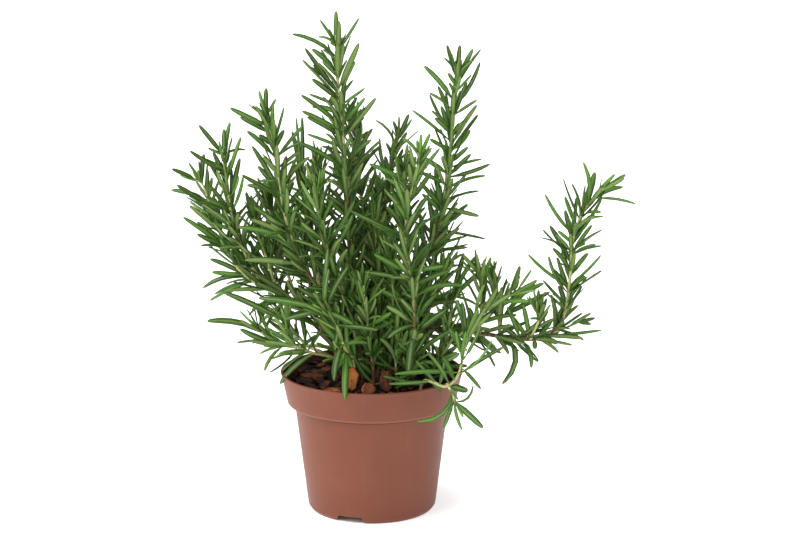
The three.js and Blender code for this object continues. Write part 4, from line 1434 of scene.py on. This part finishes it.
@dataclass
class Plant:
    """All the shoots, each with its listed points from its base to its growing end."""

    shoots: dict[str, Shoot] = field(default_factory=dict)

    def add(self, name: str, radius: float, points: list[Point], on: str = "", woody: float = 1.0,
            bare: float | None = None, lush: float = 1.0) -> None:
        """Adds a shoot.

        Args:
            name: the shoot, without its first word.
            radius: the stem's radius at its base.
            points: places that its middle line runs through.
            on: the shoot that carries it, or none where it is rooted.
            woody: how brown it gets with age, from 0 to 1.
            bare: how much of it has no leaves at its base, where that isn't the usual length.
            lush: how many small leaves it has, where 1 is usual.
        """
        carrier = self.shoots["shoot_" + on] if on else None
        shoot = Shoot("shoot_" + name, radius, points, carrier, len(self.shoots), woody, bare, lush)
        self.shoots[shoot.name] = shoot

    def trace(self, name: str, *strokes: Stroke, bend: float = 8.0, width: float = 3.4, age: float = 0.8,
              face: Face = Face.UPPER, nearer: float = 0.0) -> None:
        """Adds listed leaves to a shoot.

        Args:
            name: the shoot, without its first word.
            strokes: the pixels at which each leaf begins and ends.
            bend: degrees by which each turns away from the stem along its length.
            width: their width.
            age: 0 for fresh and light, 1 for old and dark.
            face: the face they show.
            nearer: how much nearer to the viewer their tips stand than their bases.
        """
        look = (bend, width, age, face, nearer)
        self.shoots["shoot_" + name].traced += [
            TracedLeaf((x, y), (tip_x, tip_y), *look) for x, y, tip_x, tip_y in strokes]

    def lay_out(self) -> None:
        """Lists the shoots."""
        add = self.add
        add("tall_centre", 2.0, [(-10, -4, 72), (-12, -3, 110), (-14, -2, 165), (-16, -4, 225),
            (-21, -5, 285), (-22, -4, 314)])
        add("tall_right", 1.9, [(10, 6, 72), (16, 10, 117), (27, 12, 156), (39, 13, 172), (47, 14, 200),
            (51, 14, 231), (53, 12, 261), (56, 11, 288)])
        add("left_centre", 1.8, [(-18, -10, 72), (-18, -9, 108), (-22, -8, 136), (-34, -9, 150),
            (-45, -11, 168), (-54, -13, 194), (-59, -14, 222), (-63, -14, 250), (-67, -13, 263)],
            bare=30)
        add("far_left", 2.0, [(-17, 12, 72), (-25, 10, 105), (-44, 8, 133), (-62, 10, 142),
            (-87, 14, 157), (-102, 17, 188), (-110, 18, 212), (-115, 18, 217)], bare=46)
        add("left", 1.3, [(-70, 11, 146), (-80, 6, 164), (-90, 1, 193), (-93, 0, 215), (-95, 0, 236)],
            on="far_left")
        add("left_inner", 1.1, [(-62, 10, 142), (-67, 5, 162), (-74, 3, 184), (-76, 2, 197)],
            on="far_left")
        add("left_behind", 1.2, [(-48, 8.3, 136), (-57, 18, 158), (-66, 26, 186), (-69, 29, 203)],
            on="far_left")
        add("front_centre", 1.8, [(24, -14, 72), (25, -24, 97), (27, -34, 120), (28, -37, 140),
            (25, -38, 165), (22, -37, 190), (26, -35, 221), (31, -34, 239)])
        add("back", 1.5, [(4, 29, 72), (1, 34, 128), (0, 36, 164), (7, 36, 193), (12, 36, 222),
            (17, 35, 240)])
        add("centre_back", 1.6, [(-2, 15, 72), (-3, 18, 120), (-3, 21, 165), (-6, 23, 194),
            (-9, 24, 229), (-12, 22, 257)])
        add("low_left", 1.3, [(-25, 10, 105), (-38, 5, 108), (-55, -1, 109), (-73, -1, 119),
            (-73, 0, 126)], on="far_left", bare=28, lush=0.6)
        add("low_left_inner", 1.2, [(-18, -9.2, 100), (-28, -15, 106), (-40, -23, 111), (-52, -28, 119),
            (-55, -27, 132)], on="left_centre", bare=22, lush=0.6)
        add("low_left_back", 1.4, [(-22, 10.7, 95), (-34, 19, 100), (-46, 28, 104), (-60, 38, 122),
            (-68, 46, 148), (-69, 49, 165)], on="far_left", bare=34, lush=0.6)
        add("front_left", 1.3, [(-13, -15, 72), (-11, -17, 102), (-14, -28, 110), (-17, -35, 117),
            (-22, -41, 133), (-29, -44, 144)], woody=0.5)
        add("front_middle", 1.3, [(2, -16, 72), (1, -24, 102), (-3, -33, 138), (-6, -33, 159)])
        add("front_right", 1.2, [(30, -31, 72), (33, -38, 94), (39, -48, 98), (48, -56, 97),
            (56, -54, 105), (61, -47, 125), (69, -42, 139), (88, -38, 152), (95, -37, 156)], woody=0.35,
            bare=72, lush=0.5)
        add("front_right_twig", 0.75, [(48, -56, 97), (52, -60, 93), (53, -61, 89)], on="front_right",
            woody=0.3, lush=0.05)
        add("trailing", 2.0, [(17, -7, 72), (24, 0, 102), (36, 5, 117), (53, 7, 119), (71, 8, 116),
            (98, 10, 111), (112, 11, 112), (123, 12, 119), (128, 12, 130), (131, 13, 153),
            (132, 12, 176), (137, 10, 194), (146, 8, 208), (153, 6, 214)], bare=44, lush=0.85)
        add("trailing_side_1", 1.1, [(71, 8, 116), (72, 1, 134), (71, -2, 155), (69, -3, 160)],
            on="trailing", lush=0.5)
        add("trailing_side_2", 1.0, [(85, 9, 113.5), (83, 15, 137), (80, 18, 150)], on="trailing",
            lush=0.5)
        add("trailing_side_3", 1.0, [(105, 10.5, 111), (110, 5, 125), (109, 3, 132)], on="trailing",
            lush=0.5)
        add("trailing_side_4", 1.0, [(117, 11.5, 115), (130, 15, 118), (137, 16, 121)], on="trailing",
            lush=0.5)
        add("trailing_tuft", 1.0, [(53, 7, 119), (52, 2, 133), (53, 1, 141)], on="trailing", lush=0.5)
        add("inner_left", 1.5, [(-4, -8, 72), (-9, -12, 118), (-24, -22, 165), (-32, -24, 198),
            (-36, -24, 221)])
        add("inner_left_side", 1.2, [(-34, -9, 150), (-37, 1, 170), (-43, 8, 199), (-45, 9, 215)],
            on="left_centre")
        add("inner_middle", 1.4, [(3, 4, 72), (4, 3, 118), (4, 2, 160), (2, 2, 197)])
        add("inner_right", 1.4, [(9, -10, 72), (13, -14, 114), (14, -15, 150), (12, -14, 177)])
        add("right_inner", 1.2, [(27, 12, 156), (21, 18, 178), (20, 19, 205), (22, 18, 224)],
            on="tall_right")
        add("right_low", 1.2, [(16, 10, 117), (30, 3, 131), (43, 0, 148), (48, -1, 160)],
            on="tall_right")
        add("right_front", 1.3, [(33, -6, 72), (37, -11, 91), (43, -18, 103), (49, -21, 118),
            (50, -22, 131)])
        add("back_left", 1.5, [(-15, 24, 72), (-22, 36, 118), (-30, 46, 160), (-35, 52, 202),
            (-36, 53, 221)])
        add("back_far_left", 1.2, [(-22, 36, 118), (-38, 48, 138), (-54, 58, 164), (-60, 62, 183)],
            on="back_left")
        add("back_middle", 1.5, [(12, 22, 72), (12, 42, 112), (8, 58, 150), (4, 68, 184), (3, 70, 199)])
        add("back_right", 1.4, [(22, 16, 72), (30, 32, 112), (41, 44, 150), (46, 52, 184),
            (47, 54, 197)])
        add("sprout_middle", 1.1, [(3, -4, 72), (5, -7, 105), (6, -9, 138)])
        add("sprout_front", 1.1, [(16, -17, 72), (16, -23, 104), (17, -27, 132)])
        add("sprout_left", 1.1, [(-9, 9, 72), (-8, 8, 110), (-7, 5, 146)])
        add("sprout_right", 1.1, [(28, 8, 72), (31, 12, 104), (33, 13, 130)])
        add("sprout_back", 1.1, [(16, 13, 72), (18, 17, 106), (20, 20, 140)])
        add("sprout_far_left", 1.1, [(-17, -2, 72), (-20, 0, 104), (-26, -1, 130)], bare=30)

    def trace_leaves(self) -> None:
        """Adds the leaves that stand out in the picture, one by one."""
        trace, under = self.trace, Face.UNDER
        trace("tall_centre", (332, 51, 336, 11), (334, 73, 312, 49), (335, 95, 305, 48),
              (336, 100, 312, 79), (350, 124, 365, 98), (346, 135, 364, 117), (331, 170, 298, 142),
              (361, 161, 371, 140), (338, 133, 302, 111), (322, 140, 307, 117), (338, 128, 301, 95),
              (360, 168, 374, 154))
        trace("tall_centre", (337, 70, 339, 21), (343, 88, 359, 43), face=under, width=3.8)
        trace("tall_centre", (334, 54, 359, 18), (334, 52, 338, 21), (329, 45, 320, 20),
              (336, 108, 309, 94), (346, 99, 353, 80), (345, 105, 365, 88), (341, 149, 307, 134),
              width=2.2)
        trace("tall_centre", (331, 58, 292, 34), (332, 118, 312, 107), bend=45, width=3.0)
        trace("tall_centre", (330, 46, 329, 29), (342, 80, 343, 66), (344, 79, 347, 60),
              (334, 87, 327, 71), width=2.0, age=0.1)
        trace("tall_centre", (330, 50, 318, 37), bend=110, width=2.0)
        trace("tall_right", (457, 78, 460, 45), (457, 80, 447, 45), (459, 86, 473, 49),
              (452, 102, 424, 66), (451, 126, 438, 86), (456, 121, 467, 82), (446, 139, 441, 106),
              (443, 134, 435, 118), (455, 178, 471, 154), (454, 164, 468, 147), (443, 150, 430, 139),
              (440, 173, 425, 158), (441, 208, 420, 182), (432, 211, 422, 194), (430, 183, 420, 172),
              (449, 230, 468, 204))
        trace("tall_right", (458, 88, 481, 49), (457, 116, 477, 100), (462, 169, 482, 159),
              (449, 202, 468, 172), (448, 205, 460, 194), (440, 252, 467, 236), (449, 234, 486, 239),
              (447, 142, 412, 110), (445, 232, 459, 197), width=2.1)
        trace("tall_right", (455, 107, 480, 62), (461, 179, 490, 164), bend=-25, width=2.8)
        trace("tall_right", (454, 148, 477, 105), (451, 209, 479, 216), (449, 174, 442, 156), face=under,
              width=3.8)
        trace("tall_right", (454, 86, 448, 73), (456, 140, 459, 123), (461, 135, 468, 118), width=2.6,
              age=0.3)
        trace("front_centre", (422, 158, 430, 134), bend=40, width=4.0, age=0.1)
        trace("front_centre", (418, 155, 421, 134), (417, 155, 417, 140), (414, 183, 440, 148), width=2.4,
              age=0.1)
        trace("front_centre", (416, 154, 402, 138), bend=70, width=2.8, age=0.2)
        trace("front_centre", (409, 189, 409, 164), (409, 219, 407, 189), (414, 324, 387, 306),
              face=under, width=4.4)
        trace("front_centre", (406, 185, 369, 164), (404, 237, 351, 211), (402, 282, 364, 272),
              (413, 232, 430, 193), (404, 220, 397, 205), (418, 269, 444, 266), (421, 285, 449, 271),
              (409, 309, 382, 290), (405, 275, 374, 254))
        trace("front_centre", (427, 296, 463, 286), (412, 325, 388, 338), bend=50, width=3.8)
        trace("front_centre", (413, 326, 408, 376), bend=25, width=5.0)
        trace("back", (401, 138, 409, 114), (397, 156, 407, 132), (386, 174, 385, 156),
              (384, 200, 376, 174), width=3.0, age=0.3)
        trace("back", (401, 138, 412, 119), (401, 125, 399, 116), (395, 172, 412, 149), width=1.8,
              age=0.2)
        trace("back", (397, 148, 375, 120), bend=70, width=1.8)
        trace("back", (400, 134, 393, 121), (393, 162, 386, 143), bend=40, width=2.6)
        trace("left_centre", (272, 113, 266, 88), (277, 146, 273, 105), (267, 125, 259, 91),
              (265, 128, 230, 108), (267, 135, 240, 117), (274, 158, 247, 131), (273, 146, 259, 135),
              (281, 149, 284, 130), (281, 197, 252, 146), (278, 193, 258, 166), (279, 197, 242, 175),
              (276, 196, 264, 185), (268, 196, 247, 185), (292, 207, 316, 178), (285, 230, 254, 207))
        trace("left_centre", (279, 145, 284, 107), (268, 108, 276, 99), (269, 182, 259, 181), width=2.0)
        trace("left_centre", (290, 242, 237, 227), bend=35, width=3.6)
        trace("left_centre", (291, 273, 245, 260), face=under, width=4.2)
        trace("inner_left_side", (287, 153, 292, 131), (285, 158, 302, 117), (293, 195, 295, 164))
        trace("inner_left_side", (288, 157, 296, 117), (290, 163, 298, 158), width=2.4)
        trace("left", (226, 164, 230, 122), (221, 158, 224, 129), (220, 156, 199, 125),
              (229, 182, 241, 137), (231, 205, 240, 158), (213, 190, 213, 152), (223, 170, 197, 157),
              (215, 175, 190, 151))
        trace("left", (215, 150, 208, 148), (223, 170, 219, 141), width=2.2, age=0.3)
        trace("left", (227, 152, 246, 150), bend=60, width=2.0)
        trace("far_left", (200, 181, 172, 169), bend=35, width=3.2)
        trace("far_left", (211, 205, 177, 185), (228, 249, 183, 217), (224, 242, 197, 222),
              (228, 252, 197, 234), (243, 276, 210, 259), (243, 276, 212, 272), (205, 182, 204, 154))
        trace("far_left", (200, 181, 180, 175), (200, 180, 193, 170), (201, 180, 198, 170), width=2.2,
              age=0.2)
        trace("far_left", (209, 203, 171, 190), (247, 280, 203, 288), bend=45, width=3.4)
        trace("left_inner", (239, 223, 246, 192), (248, 229, 251, 195), (244, 225, 247, 211))
        trace("low_left", (252, 330, 207, 321), (289, 349, 240, 329), bend=25, width=4.2)
        trace("low_left_inner", (250, 323, 223, 292), width=4.0)
        trace("low_left_inner", (289, 341, 285, 316), (296, 347, 288, 328), (300, 348, 316, 335),
              (309, 347, 322, 329), (286, 344, 301, 338), width=2.4, age=0.9)
        trace("low_left_inner", (310, 350, 279, 354), (314, 351, 280, 384), bend=30, width=3.8)
        trace("front_left", (304, 282, 258, 298), (314, 298, 286, 319), (326, 305, 353, 324), width=3.9)
        trace("front_left", (320, 296, 329, 269), (323, 296, 348, 267), (337, 324, 378, 330),
              (307, 257, 328, 248))
        trace("front_left", (344, 356, 345, 400), bend=25, width=4.5, nearer=38)
        trace("front_left", (340, 345, 334, 381), bend=60, width=4.2, nearer=10)
        trace("front_left", (346, 345, 369, 344), bend=75, width=3.4, age=0.5)
        trace("front_left", (356, 359, 374, 376), bend=45, width=4.0)
        trace("front_left", (338, 330, 335, 351), (342, 352, 340, 367), (357, 359, 349, 348), width=3.0)
        trace("front_left", (357, 358, 354, 344), width=4.0, age=1.0)
        trace("sprout_middle", (373, 361, 371, 342), (376, 361, 379, 342), (390, 363, 388, 343),
              (370, 362, 366, 340), width=3.4, age=1.0)
        trace("sprout_middle", (382, 363, 386, 341), bend=20, width=3.8, age=0.6)
        trace("sprout_left", (366, 360, 364, 340), (362, 359, 357, 338), (364, 350, 369, 331), width=3.4,
              age=1.0)
        trace("sprout_front", (395, 341, 397, 357), (397, 352, 406, 369), width=3.8)
        trace("sprout_front", (393, 369, 373, 362), bend=15, width=2.2, age=0.9)
        trace("sprout_back", (405, 365, 392, 359), (401, 352, 396, 334), (402, 350, 410, 334), width=3.0)
        trace("sprout_right", (418, 334, 421, 370), (423, 333, 430, 352), width=3.6, age=1.0)
        trace("front_middle", (359, 327, 391, 313), (372, 330, 399, 318), width=4.0)
        trace("front_right", (500, 305, 537, 280), (505, 306, 529, 301), (500, 282, 520, 266),
              (514, 291, 518, 278), width=3.6, age=0.15)
        trace("front_right", (452, 370, 395, 374), bend=20, width=3.2, age=0.9, nearer=8)
        trace("front_right", (428, 386, 389, 384), bend=40, width=2.8, age=0.5)
        trace("front_right", (411, 382, 383, 376), (430, 388, 443, 392), width=2.8, age=0.8)
        trace("front_right", (450, 387, 468, 391), width=4.4, age=0.9)
        trace("front_right", (447, 381, 427, 352), (436, 382, 416, 361), (441, 382, 444, 362), bend=25,
              width=2.6, age=0.8)
        trace("front_right", (449, 376, 443, 357), width=4.4, age=0.9)
        trace("front_right", (469, 369, 481, 389), (462, 377, 504, 347), width=2.8, age=0.8)
        trace("front_right", (458, 374, 492, 340), bend=-60, width=2.0, age=0.4)
        trace("front_right", (468, 352, 449, 329), (470, 345, 462, 302), (473, 338, 456, 300), bend=25,
              width=4.4, age=0.9)
        trace("front_right", (505, 289, 520, 276), width=2.6, age=0.2)
        trace("front_right", (466, 368, 466, 331), (469, 362, 481, 325), (467, 358, 456, 331), bend=-18,
              width=2.6, age=0.4)
        trace("front_right", (470, 350, 478, 309), face=under, width=4.2, age=0.7)
        trace("front_right_twig", (448, 392, 417, 421), bend=130, width=3.2, age=0.9)
        trace("front_right_twig", (455, 402, 483, 428), bend=12, width=4.2, age=0.8)
        trace("front_right_twig", (456, 402, 473, 385), bend=125, width=1.8, age=0.8)
        trace("front_right_twig", (455, 402, 462, 430), bend=40, width=2.2, age=0.8)
        trace("front_right_twig", (453, 400, 443.5, 428.5), width=2.8, age=0.8)
        trace("trailing", (582, 216, 583, 162), bend=60, width=2.9, age=0.5)
        trace("trailing", (580, 217, 595, 172), width=4.8, age=0.5)
        trace("trailing", (571, 240, 565, 210), (575, 256, 592, 225), (566, 280, 562, 250),
              (578, 277, 588, 253), (566, 289, 551, 268), (571, 271, 572, 243))
        trace("trailing", (586, 208, 615, 174), width=3.0, age=0.1)
        trace("trailing", (592, 200, 623, 187), bend=50, width=3.4, age=0.1)
        trace("trailing", (598, 203, 636, 204), (577, 256, 602, 246), (577, 255, 596, 244), bend=28,
              width=2.0)
        trace("trailing", (574, 241, 602, 198), (567, 234, 545, 194), (578, 286, 601, 255),
              (563, 285, 528, 254), bend=-22, width=2.4)
        trace("trailing", (567, 243, 558, 231), (567, 251, 555, 234), (563, 305, 543, 280),
              (573, 272, 577, 266), width=2.4)
        trace("trailing", (566, 317, 561, 297), (572, 321, 574, 298), face=under, width=4.3)
        trace("trailing", (544, 339, 602, 330), bend=-12, width=2.6)
        trace("trailing", (520, 345, 531, 368), bend=70, width=3.6)
        trace("trailing", (505, 346, 502, 384), bend=115, width=4.4)
        trace("trailing", (535, 340, 535, 349), (521, 332, 507, 307), (528, 329, 511, 315),
              (520, 338, 500, 325), (535, 334, 553, 319), (529, 329, 523, 305))
        trace("trailing_side_2", (544, 318, 537, 280), (546, 315, 550, 292), (543, 305, 544, 283),
              width=3.8)
        trace("trailing_side_4", (566, 329, 591, 313), (580, 323, 595, 318), (580, 322, 591, 324),
              width=2.5)
        trace("trailing_tuft", (478, 275, 464, 253), (479, 276, 476, 256), (481, 280, 490, 265))

    def build(self) -> None:
        """Makes every shoot."""
        self.lay_out()
        self.trace_leaves()
        leaf_finish, stem_finish = LeafFinish().material(), StemFinish().material()
        for shoot in self.shoots.values():
            shoot.build(leaf_finish, stem_finish)


# ------------------------------------------------------------------ studio


@dataclass(frozen=True)
class Studio:
    """A pale floor that glows with painted light, under even light, with a broad light from the left and
    weak ones elsewhere.
    """

    floor_half: float = 9.0
    # The floor's glow is painted light, not a lamp: it is weaker near the pot, a painted contact shadow
    # about its foot, and stronger further out, where it hides the pot's cast shadow.
    floor_glow: float = 0.55
    glow_begins: Ramp = (0.038, 0.041)  # by the distance from the pot's axis: not underneath the pot
    far_glow: float = 0.27  # how much more it glows away from the pot
    far_glow_begins: Ramp = (0.045, 0.085)
    sky: float = 0.36
    # Each light's name, its strength, where it comes from and its breadth in degrees.
    lamps: tuple[tuple[str, float, Point, float], ...] = (
        ("key", 2.8, (-1.15, -0.44, 0.95), 64.0),
        ("fill", 0.35, (0.9, 0.4, 0.3), 64.0),
        ("front", 0.6, (0.1, -1.0, 0.42), 30.0),
    )

    def lamp(self, name: str, strength: float, place: Point, breadth_deg: float) -> None:
        """Adds a broad light: parallel, but softened as by a large screen."""
        data = bpy.data.lights.new(name, "SUN")
        data.energy, data.angle = strength, math.radians(breadth_deg)
        lamp = add_object(name, data)
        lamp.location = place
        lamp.rotation_euler = Vector(place).to_track_quat("Z", "Y").to_euler()

    def floor(self) -> None:
        """Adds the floor: a wide flat sheet, nearly white, whose glow is painted light, weaker near the pot
        as a painted contact shadow.
        """
        corners = np.array([(-1, -1, 0), (1, -1, 0), (1, 1, 0), (-1, 1, 0)]) * self.floor_half
        sheet = new_piece("studio_floor", (corners - AXIS) / MM, [np.array([[0, 1, 2, 3]])])
        recipe = Recipe("studio_paper")
        ends = {0: recipe.place(), 1: tuple(AXIS)}
        from_pot = recipe.node("VectorMath", ends, operation="DISTANCE").outputs[1]
        # Painted light and shade: no glow under the pot, less near it, more further out.
        glow = recipe.maths("ADD", recipe.ramp(from_pot, *self.glow_begins, 0, self.floor_glow),
                            recipe.ramp(from_pot, *self.far_glow_begins, 0, self.far_glow))
        sheet.data.materials.append(recipe.finished(
            Base_Color=(0.9, 0.9, 0.9), Roughness=0.9, Specular_IOR_Level=0.1,
            Emission_Color=(1.0, 1.0, 1.0), Emission_Strength=glow))

    def sky_light(self) -> None:
        """Lights everything evenly from all round."""
        world = bpy.data.worlds.new("studio_air")
        world.use_nodes = True
        background = world.node_tree.nodes["Background"]
        background.inputs["Color"].default_value = (1.0, 1.0, 1.0, 1.0)
        background.inputs["Strength"].default_value = self.sky
        bpy.context.scene.world = world

    def build(self) -> None:
        """Sets the studio up."""
        self.floor()
        self.sky_light()
        for lamp in self.lamps:
            self.lamp(*lamp)
        bpy.context.scene.view_settings.view_transform = "Standard"


def main() -> None:
    """Builds everything in order."""
    logging.basicConfig(level=logging.INFO, format="%(name)s: %(message)s")
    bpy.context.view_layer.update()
    VIEW.add_camera()
    pot = Pot()
    pot.build()
    soil = Soil(pot)
    soil.build()
    Bark(soil).build()
    Plant().build()
    Studio().build()
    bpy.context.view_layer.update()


if __name__ == "__main__":
    main()
